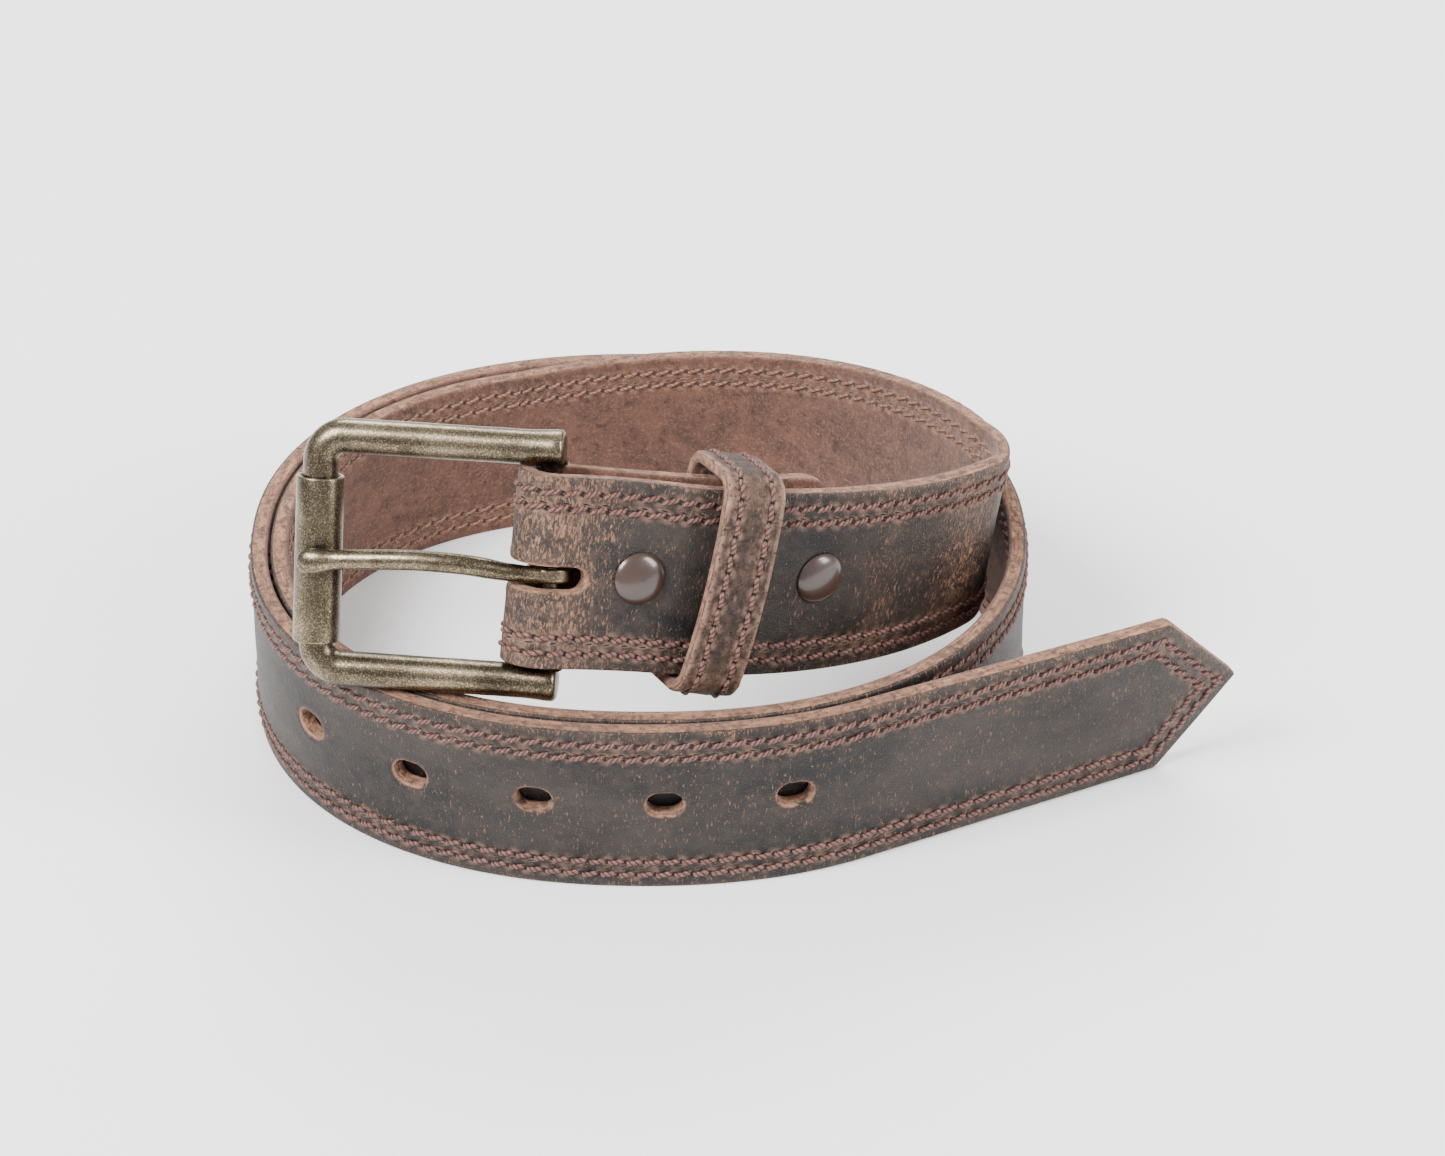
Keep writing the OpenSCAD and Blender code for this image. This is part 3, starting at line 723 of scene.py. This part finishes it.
def patch_of(grid_p, grid_h, opening):
    """Grid window round an opening and its loop, as index pairs."""
    p0, h0, _, _, (half_p, half_h) = opening
    i0, i1 = (int(np.argmin(np.abs(grid_p[:, 0] - p))) for p in (p0 - half_p, p0 + half_p))
    j0, j1 = (int(np.argmin(np.abs(grid_h[i0] - h))) for h in (h0 - half_h, h0 + half_h))
    loop = [(i, j0) for i in range(i0, i1)] + [(i1, j) for j in range(j0, j1)]
    loop += [(i, j1) for i in range(i1, i0, -1)] + [(i0, j) for j in range(j1, j0, -1)]
    return (i0, i1, j0, j1), loop


def round_loop(loop):
    """Index pairs of neighbours right round a closed loop."""
    return [(a, (a + 1) % len(loop)) for a in range(len(loop))]


def strap_layout():
    """Pattern places (p, h), the faces of one side and its loops: the outline, then openings."""
    grid_p, grid_h = strap_grid()
    n, m = grid_p.shape
    index = np.arange(n * m).reshape(n, m)
    places = [columns(grid_p.ravel(), grid_h.ravel())]
    count = n * m
    blocked = np.zeros((n - 1, m - 1), bool)
    faces, loops = [], []
    for opening in OPENINGS:
        (i0, i1, j0, j1), pairs = patch_of(grid_p, grid_h, opening)
        blocked[i0:i1, j0:j1] = True
        p0, h0, run, radius, _ = opening
        last = np.array([index[i, j] for i, j in pairs])
        start = places[0][last]
        core = columns(p0 + np.clip(start[:, 0] - p0, -run, run), np.full(len(start), h0))
        rim = core + radius * unit(start - core)
        for t in PATCH_RINGS:
            ring = np.arange(count, count + len(pairs))
            places.append(start + (rim - start) * t)
            faces += [(last[a], last[b], ring[b], ring[a]) for a, b in round_loop(ring)]
            count += len(pairs)
            last = ring
        loops.append(last[::-1])
    faces += [(index[i, j], index[i + 1, j], index[i + 1, j + 1], index[i, j + 1])
              for i, j in np.argwhere(~blocked)]
    outline = np.concatenate([index[:, 0], index[-1, 1:], index[-2::-1, -1], index[0, -2:0:-1]])
    return np.concatenate(places), faces, [outline] + loops


def loop_normals(points):
    """Normals of a loop in the pattern's plane, away from the leather on its left."""
    step = np.roll(points, -1, 0) - np.roll(points, 1, 0)
    return unit(columns(step[:, 1], -step[:, 0]) + 1e-9)


def press_seats(points, on_flap):
    """Presses the leather flat where a snap's discs sit on it, as the rivets do."""
    points = points.copy()
    for q, h in SNAPS.values():
        base, along, up, out = strap_axes(HEEL_D + q)
        rel = points - (base + h * up)
        z = rel @ out
        r = np.hypot(rel @ along, rel @ up)
        near = (r < SEAT_R + SEAT_FADE) & (np.abs(z) < SEAT_REACH)
        mid = np.where(on_flap, -FLAP_SEP, 0.0)
        level = mid + np.sign(z - mid) * (STRAP_T / 2 - SEAT_SINK)
        press = np.where(near, 1 - smooth((r - SEAT_R) / SEAT_FADE), 0)
        points += (press * (level - z))[:, None] * out
    return points


def wall_ring(at, out, above, below, t):
    """Ring of a cut edge at t, from -1 below to 1 above, bulged and rough."""
    o = (above + below) / 2 + t * (above - below) / 2
    spot = columns(at[:, 0], at[:, 1], o)
    rough = 0.09 * wobble(spot, 1.1, 51) + 0.05 * wobble(spot, 0.5, 52)
    bulge = 0.16 * (1 - t * t) - 0.06 + rough
    return np.column_stack([at + out * bulge[:, None], o])


def strap_walls(places, loops, top, under):
    """Points and faces of the cut edges, which join the two sides along every loop."""
    count = len(places)
    total = 2 * count
    points, faces = [], []
    for loop in loops:
        at = places[loop]
        out = loop_normals(at)
        last = loop
        for t in WALL_RINGS:
            ring = np.arange(total, total + len(loop))
            points.append(wall_ring(at, out, top[loop, 2], under[loop, 2], t))
            faces += [(last[a], ring[a], ring[b], last[b]) for a, b in round_loop(loop)]
            total += len(loop)
            last = ring
        faces += [(last[a], count + loop[a], count + loop[b], last[b]) for a, b in round_loop(loop)]
    return points, faces


def drop_unused(points, faces):
    """The points that faces use, and the faces with their new numbers."""
    used = np.unique(np.concatenate([np.array(f) for f in faces]))
    renumber = np.full(len(points), -1)
    renumber[used] = np.arange(len(used))
    return points[used], [tuple(renumber[list(f)]) for f in faces]


def make_strap():
    places, sides, loops = strap_layout()
    count = len(places)
    p, h = places[:, 0], places[:, 1]
    top = columns(p, h, face_offset(p, h, 1))
    under = columns(p, h, -face_offset(p, h, -1))
    wall_points, walls = strap_walls(places, loops, top, under)
    faces = sides + [tuple(count + k for k in f[::-1]) for f in sides] + walls
    zone = [GRAIN] * len(sides) + [FLESH] * len(sides) + [EDGE] * len(walls)
    flat, faces = drop_unused(np.concatenate([top, under] + wall_points), faces)
    p, h, o = flat.T
    along, off = seam_place(p, h)
    solid = press_seats(on_strap(p, h, o), p < FOLD_P0)
    attributes = [("flat", flat * MM), ("wear", wear_and_sheen_at(p, h)),
                  ("seam", columns(along, off, 0 * off)), ("rim", opening_distance(p, h))]
    make_piece("strap_leather", solid, faces, ("grain", "flesh", "edge"),
               ("strap", "strap_leather", "strap"), zone, attributes)


make_strap()


# --- Stitching: one twisted two-ply stitch from each needle hole to the next ---

PLY_TURNS = 3.2
# A stitch starts this far into its pitch and covers this much of it
STITCH_START, STITCH_RUN = 0.03, 0.94
# How deep a stitch's ends dive, and how thick its thread is for its width
STITCH_DIVE, THREAD_FLAT = 0.55, 0.82
# A row's face of the leather, rings and sides of a stitch, thread radius and material
NEEDLE = (1, 14, 8, 0.56, "thread")
BOBBIN = (-1, 7, 6, 0.38, "bobbin")


def ply_twist(t, around):
    """1 on the crown of either ply and -1 in the groove between them, at t along a stitch."""
    return np.cos(2 * around - 2 * math.pi * PLY_TURNS * t)


def stitch_template(rings, sides, thread_r, arch):
    """A stitch as an array (rings, sides, 3) of t from 0 to 1, sideways and upward."""
    t = np.linspace(0, 1, rings)
    around = circle(sides)
    swell = np.sin(math.pi * t)
    rise = arch * (swell ** 0.45) - STITCH_DIVE * (1 - swell ** 0.35)
    lobes = thread_r * (0.94 + 0.12 * ply_twist(t[:, None], around[None, :]))
    x = np.repeat(t[:, None], sides, 1)
    side = lobes * np.cos(around)[None, :]
    height = lobes * THREAD_FLAT * np.sin(around)[None, :] + rise[:, None]
    return columns(x, side, height)


def join_stitches(stitches):
    """Points, faces and twist of a row of stitches, each an array (rings, sides, 3)."""
    rings, sides = stitches[0].shape[:2]
    one = tube(stitches[0])[1]
    faces = [tuple(n * rings * sides + k for k in f) for n in range(len(stitches)) for f in one]
    around = circle(sides)
    twist = ply_twist(np.linspace(0, 1, rings)[:, None], around[None, :]).reshape(-1)
    return np.concatenate([s.reshape(-1, 3) for s in stitches]), faces, np.tile(twist, len(stitches))


def make_row(name, inset, face, rings, sides, thread_r, material, node):
    """One row's stitches on one face, along the lower edge and the upper edge."""
    t, off, up = np.moveaxis(stitch_template(rings, sides, thread_r, 0.16), -1, 0)
    r = np.random.default_rng(int(inset * 10) + 5 * face)
    first = ROW_START + ROW_PHASE[inset] * STITCH
    end = row_shoulder(inset) + (HALF_W - inset) / TIP_SIN
    stitches = []
    for side in (-1, 1):
        for a0 in np.arange(first, end - 0.3 * STITCH, STITCH):
            slant = -(0.5 + r.normal() * 0.05) * side * face
            a = a0 + (STITCH_START + STITCH_RUN * t) * STITCH
            p, h = row_points(a, inset, side, off + slant * (t - 0.5) * 2 + r.normal() * 0.03)
            o = face * (STRAP_T / 2 + up + r.normal() * 0.02)
            stitches.append(columns(p, h, o))
    flat, faces, twist = join_stitches(stitches)
    says = ("strap", "thread", node)
    make_piece(name, on_strap(*flat.T), faces, [material], says, attributes=[("twist", twist)])


make_row("stitches_outer_needle", OUTER_ROW, *NEEDLE, "thread_outer_needle")
make_row("stitches_inner_needle", INNER_ROW, *NEEDLE, "thread_inner_needle")
make_row("stitches_outer_bobbin", OUTER_ROW, *BOBBIN, "thread_outer_bobbin")
make_row("stitches_inner_bobbin", INNER_ROW, *BOBBIN, "thread_inner_bobbin")


# --- Buckle, in its own frame: x towards the roller, y outward, z along the heel bar ---

JOINTS = {j["name"]: j for j in frame["joints"]}
HEEL = np.array(JOINTS["buckle_swivel"]["pos_m"]) / MM
BUCKLE_Z = unit(np.array(JOINTS["buckle_swivel"]["axis"]))
ROLLER_C = np.array(JOINTS["roller_spin"]["pos_m"]) / MM
BUCKLE_X = unit(ROLLER_C - HEEL)
BUCKLE_Y = np.cross(BUCKLE_Z, BUCKLE_X)
BUCKLE_LEN = float(np.linalg.norm(ROLLER_C - HEEL))
ROD_R, HEEL_R, ROLLER_R, RUNNING_GAP = 3.4, 2.2, 4.65, 0.08
ARM_Z = HALF_W + 0.6 + ROD_R
CORNER_R, ARM_BACK = 5.0, 2.2
ROLLER_DROP = 1.4
ROLLER_HALF = ARM_Z - CORNER_R - 0.3 - ROLLER_DROP
EYE_R, EYE_W, EYE_UP = 4.5, 3.0, -1.3
# The rod's bevelled ends: distance in from the end, and the radius there
BEVEL = [(0.0, ROD_R - 1.0), (0.12, ROD_R - 0.55), (0.4, ROD_R - 0.2), (0.8, ROD_R)]


def in_buckle(local):
    return in_axes(local, HEEL, BUCKLE_X, BUCKLE_Y, BUCKLE_Z)


def make_brass(name, points, faces, body, node):
    make_piece(name, in_buckle(points), faces, ["brass"], (body, "antique_brass", node))


def lathe(profile, sides, closed=False):
    """Points and faces of a profile of (radius, z) pairs turned about z."""
    a = circle(sides)
    rings = np.array([[(r * math.cos(t), r * math.sin(t), z) for t in a] for r, z in profile])
    points, faces = tube(rings, closed, caps=False)
    return points, [f[::-1] for f in faces]


def mirrored(half, middle=()):
    """A lathe profile: one half, the middle, and the half again with z turned round."""
    return half + list(middle) + [(r, -z) for r, z in half[::-1]]


def join(*parts):
    points, faces, count = [], [], 0
    for part_points, part_faces in parts:
        points.append(np.asarray(part_points).reshape(-1, 3))
        faces += [tuple(count + k for k in f) for f in part_faces]
        count += len(points[-1])
    return np.concatenate(points), faces


def arc(centre, radius, start, end, n):
    a = np.radians(np.linspace(start, end, n))
    return [(centre[0] + radius * math.cos(t), centre[1] + radius * math.sin(t)) for t in a]


def frame_path():
    """Centre line of the rod in (x, z), from the upper arm's end to the lower arm's."""
    x1 = BUCKLE_LEN - CORNER_R
    z1 = ARM_Z - CORNER_R
    upper = [(x, ARM_Z) for x in np.linspace(-ARM_BACK, x1, 22)[:-1]]
    upper += arc((x1, z1), CORNER_R, 90, 0, 12)
    bar = [(BUCKLE_LEN, z) for z in np.linspace(z1, -z1, 14)[1:-1]]
    lower = arc((x1, -z1), CORNER_R, 0, -90, 12)
    lower += [(x, -ARM_Z) for x in np.linspace(x1, -ARM_BACK, 22)[1:]]
    return np.array(upper + bar + lower)


def frame_rod():
    """Points and faces of the rod, with bevelled ends and a slight flare at each end."""
    path = frame_path()
    step = np.gradient(path, axis=0)
    side = left_of(path)
    around = circle(36)
    flare = 0.1 * bump(path[:, 0] + 1, 3.0)
    stations = [BEVEL] + [[(0.0, ROD_R)]] * (len(path) - 2) + [BEVEL[::-1]]
    rings = []
    for k, station in enumerate(stations):
        for inward, radius in station:
            x, z = path[k] + unit(step[k]) * inward * (1 if k == 0 else -1)
            r = radius * (1 + flare[k])
            rings.append(columns(x + side[k, 0] * r * np.cos(around), r * np.sin(around) * 0.99,
                                 z + side[k, 1] * r * np.cos(around)))
    return tube(np.array(rings))


def make_buckle_frame():
    ends = [(HEEL_R + 0.9, 2.6 - ARM_Z), (HEEL_R + 0.25, 3.3 - ARM_Z), (HEEL_R, 3.75 - ARM_Z)]
    heel_bar = lathe(mirrored(ends, [(HEEL_R, 0)]), 32)
    points, faces = join(frame_rod(), heel_bar)
    points = points + 0.035 * wobble(points, 3.5, 61)[:, None] * unit(points - points.mean(0))
    make_brass("buckle_casting", points, faces, "buckle", "buckle_frame")


def make_roller():
    inner, outer, end = ROD_R + RUNNING_GAP, ROLLER_R, ROLLER_HALF
    half = [(inner, end - 1.8), (inner + 0.4, end - 1.4), (inner + 0.45, end - 0.1), (inner + 0.55, end),
            (outer - 0.25, end), (outer - 0.06, end - 0.1), (outer, end - 0.35), (outer, end * 0.5)]
    points, faces = lathe([(inner, 0)] + mirrored(half, [(outer, 0)]), 72, closed=True)
    points = points + np.array([BUCKLE_LEN, 0, -ROLLER_DROP])
    make_brass("roller_tube", points, faces, "roller", "roller")


PRONG_REST = ROLLER_R + 0.15
# Along the prong: x, y, sideways shift, half-width and half-thickness
PRONG = np.array([
    (-2.5, 2.4, -1.3, 1.2, 0.7), (-1, 3.3, -1.3, 1.6, 0.85), (2, 3.7, -1.3, 1.7, 1.1),
    (5, 3.9, -1.1, 1.7, 1.5), (8, 4.6, -0.8, 1.8, 1.85), (11.5, 5.9, -0.1, 2, 2), (15, 7.1, 0.5, 2, 2),
    (19, 7.7, 0.8, 2, 2), (25, 7.9, 0.9, 2, 1.95), (31, 7.7, 0.6, 2, 1.9), (37, 7.2, 0.1, 1.95, 1.8),
    (41, PRONG_REST + 1.9, -0.3, 2, 1.75), (44.5, PRONG_REST + 2, -0.7, 2.5, 1.8),
    (47, PRONG_REST + 1.75, -0.9, 2.3, 1.5), (48.3, PRONG_REST + 1.2, -0.9, 1.1, 0.7)])


def curve_through(points, steps):
    """Catmull-Rom curve through rows of numbers, with this many steps between neighbours."""
    padded = np.vstack([2 * points[0] - points[1], points, 2 * points[-1] - points[-2]])
    out = []
    for a, b, c, d in zip(padded, padded[1:], padded[2:], padded[3:]):
        for t in np.linspace(0, 1, steps, endpoint=False):
            out.append(0.5 * (2 * b + (c - a) * t + (2 * a - 5 * b + 4 * c - d) * t ** 2
                              + (3 * b - a - 3 * c + d) * t ** 3))
    return np.array(out + [points[-1]])


def make_prong():
    line = curve_through(PRONG, 6)
    around = circle(28)
    rings = []
    for (x, y, side, wide, thick), (nx, ny) in zip(line, left_of(line[:, :2])):
        lift = thick * np.sin(around)
        rings.append(columns(x + nx * lift, y + ny * lift, side + wide * np.cos(around)))
    inner, half = HEEL_R + RUNNING_GAP, EYE_W / 2
    eye = mirrored([(inner, -half + 0.3), (inner + 0.3, -half), (EYE_R - 0.5, -half),
                    (EYE_R - 0.1, -half + 0.2), (EYE_R, -half + 0.6)])
    eye_points, eye_faces = lathe(eye, 48, closed=True)
    points, faces = join(tube(np.array(rings)), (eye_points + np.array([0, 0, EYE_UP]), eye_faces))
    make_brass("prong_tongue", points, faces, "prong", "prong")


make_buckle_frame()
make_roller()
make_prong()


# --- Snaps: profiles are (radius, z) with z outward ---

CAP_R, CAP_H, CAP_RIM, CAP_ARC = 5.25, 2.0, 0.62, 1.25
POST_R, BARREL_R, BARREL_LEN = 4.5, 1.3, STRAP_T + 1.6
SNAP_GAP, AXIS_R = 0.05, 0.02


def on_snap(local, place):
    """Local points with z outward from the front layer's middle, at a snap."""
    q, h = SNAPS[place]
    base, along, up, out = strap_axes(HEEL_D + q)
    return in_axes(local, base + h * up, -along, up, out)


def make_disc(kind, place, profile, z0, sides, material, slot):
    """A turned piece of a snap, from its profile on z0."""
    points, faces = lathe([(r, z + z0) for r, z in profile], sides)
    says = ("strap", slot, f"snap_{kind}_{place}")
    make_piece(f"{kind}_{place}", on_snap(points, place), faces, [material], says)


def make_cap(place):
    """A low dome over a short rim."""
    drop = (CAP_H - CAP_RIM) / (1 - math.cos(CAP_ARC))
    dome = [(CAP_R * math.sin(t), CAP_H - (1 - math.cos(t)) * drop) for t in np.linspace(0.02, CAP_ARC, 16)]
    rim = [(CAP_R * 0.985, 0.42), (CAP_R, 0.28), (CAP_R - 0.08, 0.12), (CAP_R - 0.35, 0.0), (AXIS_R, 0.0)]
    make_disc("cap", place, (dome + rim)[::-1], STRAP_T / 2 + SNAP_GAP, 64, "enamel", "snap_enamel")


def make_post(place):
    """The rivet head behind the flap: a shallow dished disc with a rolled centre, and its barrel."""
    profile = [(AXIS_R, -0.35), (0.9, -0.38), (1.3, -0.62), (1.9, -0.78), (2.6, -0.72), (3.6, -0.62),
               (4.2, -0.5), (POST_R, -0.22), (POST_R - 0.05, -0.02), (BARREL_R, 0), (BARREL_R, BARREL_LEN),
               (AXIS_R, BARREL_LEN)]
    make_disc("post", place, profile, -FLAP_SEP - STRAP_T / 2 - SNAP_GAP, 48, "plated", "snap_brass")


for place in SNAPS:
    make_cap(place)
    make_post(place)
    dress("snap_socket_" + place, "plated")
    dress("snap_stud_" + place, "plated")


# --- Keeper's band: local x along the strap away from the fold, y up, z outward ---

BAND_Q, BAND_TILT, BAND_UP = 31.6, 5.0, 0.25
BAND_W, BAND_T = 12.5, 2.6
BAND_FRONT, BAND_BACK = 4.3, -11.0
BAND_FRONT_CORNER, BAND_BACK_CORNER, BAND_BOW = 3.5, 2.0, 1.5
BAND_EASE, BAND_ROUND = 3.0, 0.5
BAND_ROW, BAND_SLIT, BAND_RINGS = 3.3, 0.3, 190
BAND_NEEDLE = (14, 8, 0.54, 0.14)


def on_keeper(local):
    base, along, up, out = strap_axes(HEEL_D + BAND_Q)
    centre = base + (HALF_W + BAND_UP) * up
    tilt = math.radians(-BAND_TILT)
    x = math.cos(tilt) * -along + math.sin(tilt) * up
    y = math.cos(tilt) * up - math.sin(tilt) * -along
    return in_axes(local, centre, x, y, out)


def keeper_line():
    """The band's middle line in (y, z), outward normals and lengths, from butt to butt."""
    g = BAND_T / 2
    back_r, front_r = BAND_BACK_CORNER + g, BAND_FRONT_CORNER + g
    y1, z0, z1 = (STRAP_W + BAND_EASE) / 2 + g, BAND_BACK - g, BAND_FRONT + g
    points = [(y, z0) for y in np.linspace(BAND_SLIT / 2, y1 - back_r, 16)[:-1]]
    points += arc((y1 - back_r, z0 + back_r), back_r, -90, 0, 10)
    points += [(y1, z) for z in np.linspace(z0 + back_r, z1 - front_r, 6)[1:-1]]
    points += arc((y1 - front_r, z1 - front_r), front_r, 0, 80, 10)
    y_end, z_end = points[-1]
    points += [(y, z_end + BAND_BOW * (1 - (y / y_end) ** 2)) for y in np.linspace(y_end, 0, 16)[1:]]
    half = np.array(points)
    line = np.vstack([half, (half * (-1, 1))[-2::-1]])
    steps = np.linalg.norm(np.diff(line, axis=0), axis=1)
    length = np.concatenate([[0], np.cumsum(steps)])
    even = np.linspace(0, length[-1], BAND_RINGS)
    line = np.stack([np.interp(even, length, line[:, k]) for k in range(2)], 1)
    return line, -left_of(line), even


BAND_LINE, BAND_NORMAL, BAND_S = keeper_line()
# Places in from an edge, and down a cut edge
BAND_X = np.array([0, 0.1, 0.28, 0.6, 1.3, 2.2, 2.7, 2.95, 3.3, 4.1, 5.2, 6.25])
BAND_WALL = np.array([0.55, 0.2, -0.2, -0.55])


def keeper_faces(s):
    """Across the band at length s: places x, and the offsets of its outer and inner face."""
    x = np.concatenate([-BAND_W / 2 + BAND_X, (BAND_W / 2 - BAND_X[:-1])[::-1]])
    e = BAND_W / 2 - np.abs(x)
    pull = 0.5 + 0.5 * math.cos(2 * math.pi * s / STITCH)
    groove = bump(np.abs(x) - BAND_ROW, 0.5) * (0.12 + 0.16 * pull)
    place = columns(x, np.full(len(x), s))
    relief = 0.05 * wobble(place, 2.4, 71) + 0.04 * wobble(place, 1.0, 72)
    crown = -0.18 * (x / (BAND_W / 2)) ** 2
    drop = rounding(e, BAND_ROUND)
    over = BAND_T / 2 - drop - groove + relief * smooth(e) + crown
    below = -(BAND_T / 2 - drop) + relief * smooth(e)
    return x, over, below


def keeper_section(s):
    """Points (x, offset) right round the band at length s: outer face, edge, inner face, edge."""
    x, over, below = keeper_faces(s)
    side_o = BAND_WALL * BAND_T / 2
    fuzz = 0.12 * wobble(columns(side_o, np.full(len(side_o), s)), 0.8, 73)
    bulge = BAND_W / 2 + 0.12 * (1 - BAND_WALL ** 2) + fuzz - 0.05
    parts = ((x, over), (bulge, side_o), (x[::-1], below[::-1]), (-bulge, side_o[::-1]))
    return np.concatenate([np.stack(part, 1) for part in parts])


def keeper_wear(x, y, z):
    """How rubbed the band is: at its upper front, its lower end and along its edges."""
    top = smooth((y - 12) / 12) * smooth((z - 1) / 6)
    under = smooth((-y - 14) / 10)
    edges = bump(BAND_W / 2 - np.abs(x), 0.9)
    return np.clip(0.42 * top + 0.25 * under + 0.04 + 0.5 * edges, 0, 1).ravel()


def make_keeper():
    x, o = np.moveaxis(np.array([keeper_section(s) for s in BAND_S]), -1, 0)
    tables = (*BAND_LINE.T, *BAND_NORMAL.T, BAND_S)
    y, z, ny, nz, s = (np.repeat(v[:, None], x.shape[1], 1) for v in tables)
    points, faces = tube(columns(x, y + ny * o, z + nz * o))
    across, wall = 2 * len(BAND_X) - 2, len(BAND_WALL) + 1
    kinds = [GRAIN] * across + [EDGE] * wall + [FLESH] * across + [EDGE] * wall
    zones = kinds * (len(x) - 1) + [EDGE, EDGE]
    flat = columns(s, x, o).reshape(-1, 3)
    seam = columns(s / STITCH, np.abs(x) - BAND_ROW, 0 * x).reshape(-1, 3)
    attributes = [("flat", flat * MM), ("wear", keeper_wear(x, y, z)), ("seam", seam),
                  ("rim", np.full(len(points), FAR))]
    make_piece("keeper_band", on_keeper(points), faces, ("keeper", "flesh", "edge"),
               ("keeper", "keeper_leather", "keeper_loop"), zones, attributes)


def make_keeper_row(name, x0, node):
    t, off, up = np.moveaxis(stitch_template(*BAND_NEEDLE), -1, 0)
    r = np.random.default_rng(int(10 * abs(x0)) + (x0 > 0))
    o = BAND_T / 2 + up - 0.1
    stitches = []
    for k in range(2, int(BAND_S[-1] / STITCH) - 2):
        s = (k + STITCH_START + STITCH_RUN * t) * STITCH
        x = x0 + off + (0.3 + 0.05 * r.normal()) * (t - 0.5) * 2
        y, z, ny, nz = (np.interp(s, BAND_S, v) for v in (*BAND_LINE.T, *BAND_NORMAL.T))
        stitches.append(columns(x, y + ny * o, z + nz * o))
    points, faces, twist = join_stitches(stitches)
    says = ("keeper", "thread", node)
    make_piece(name, on_keeper(points), faces, ["thread"], says, attributes=[("twist", twist)])


make_keeper()
make_keeper_row("keeper_stitches_buckle_side", -BAND_ROW, "keeper_thread_buckle_side")
make_keeper_row("keeper_stitches_tip_side", BAND_ROW, "keeper_thread_tip_side")
dress("keeper_staple", "plated")


# --- Camera, floor and light, in metres ---

# The camera looks down at 36 degrees from 1.1 m, at a point behind the coil's middle
TARGET = Vector((COIL_C[0] + 16, COIL_C[1] + 36, 0)) * MM
CAMERA_FAR, CAMERA_RISE = 1.1, math.radians(36)
LENS, SENSOR = 128.55, 36.0
FLOOR_HALF = 4.0
SKY = 0.95
# Each light's name, place, size and power
LIGHTS = (("key", (-0.9, -0.6, 1.3), (0.7, 0.7), 55),
          ("side", (1.3, -0.4, 0.8), (0.5, 0.9), 26),
          ("back", (0.1, 1.3, 1.1), (1.3, 0.6), 34))


def make_camera():
    data = bpy.data.cameras.new("camera")
    data.lens, data.sensor_width, data.clip_start, data.clip_end = LENS, SENSOR, 0.05, 50
    camera = in_scene("camera", data)
    back = Vector((0, -math.cos(CAMERA_RISE), math.sin(CAMERA_RISE)))
    camera.location = TARGET + back * CAMERA_FAR
    camera.rotation_euler = (-back).to_track_quat("-Z", "Y").to_euler()
    SCENE.camera = camera


def make_floor():
    mesh = bpy.data.meshes.new("floor")
    corners = [(x * FLOOR_HALF, y * FLOOR_HALF, 0) for x, y in ((-1, -1), (1, -1), (1, 1), (-1, 1))]
    mesh.from_pydata(corners, [], [(0, 1, 2, 3)])
    mesh.materials.append(Nodes("pale_floor").finish((0.9, 0.9, 0.9), 0.8))
    in_scene("floor", mesh)


def make_light():
    world = bpy.data.worlds.new("studio")
    SCENE.world = world
    world.use_nodes = True
    background = world.node_tree.nodes["Background"]
    background.inputs[0].default_value = (1, 1, 1, 1)
    background.inputs[1].default_value = SKY
    for name, place, size, power in LIGHTS:
        data = bpy.data.lights.new(name, "AREA")
        data.shape, data.energy = "RECTANGLE", power
        data.size, data.size_y = size
        light = in_scene(name, data)
        light.location = place
        light.rotation_euler = (-Vector(place)).to_track_quat("-Z", "Y").to_euler()


make_camera()
make_floor()
make_light()
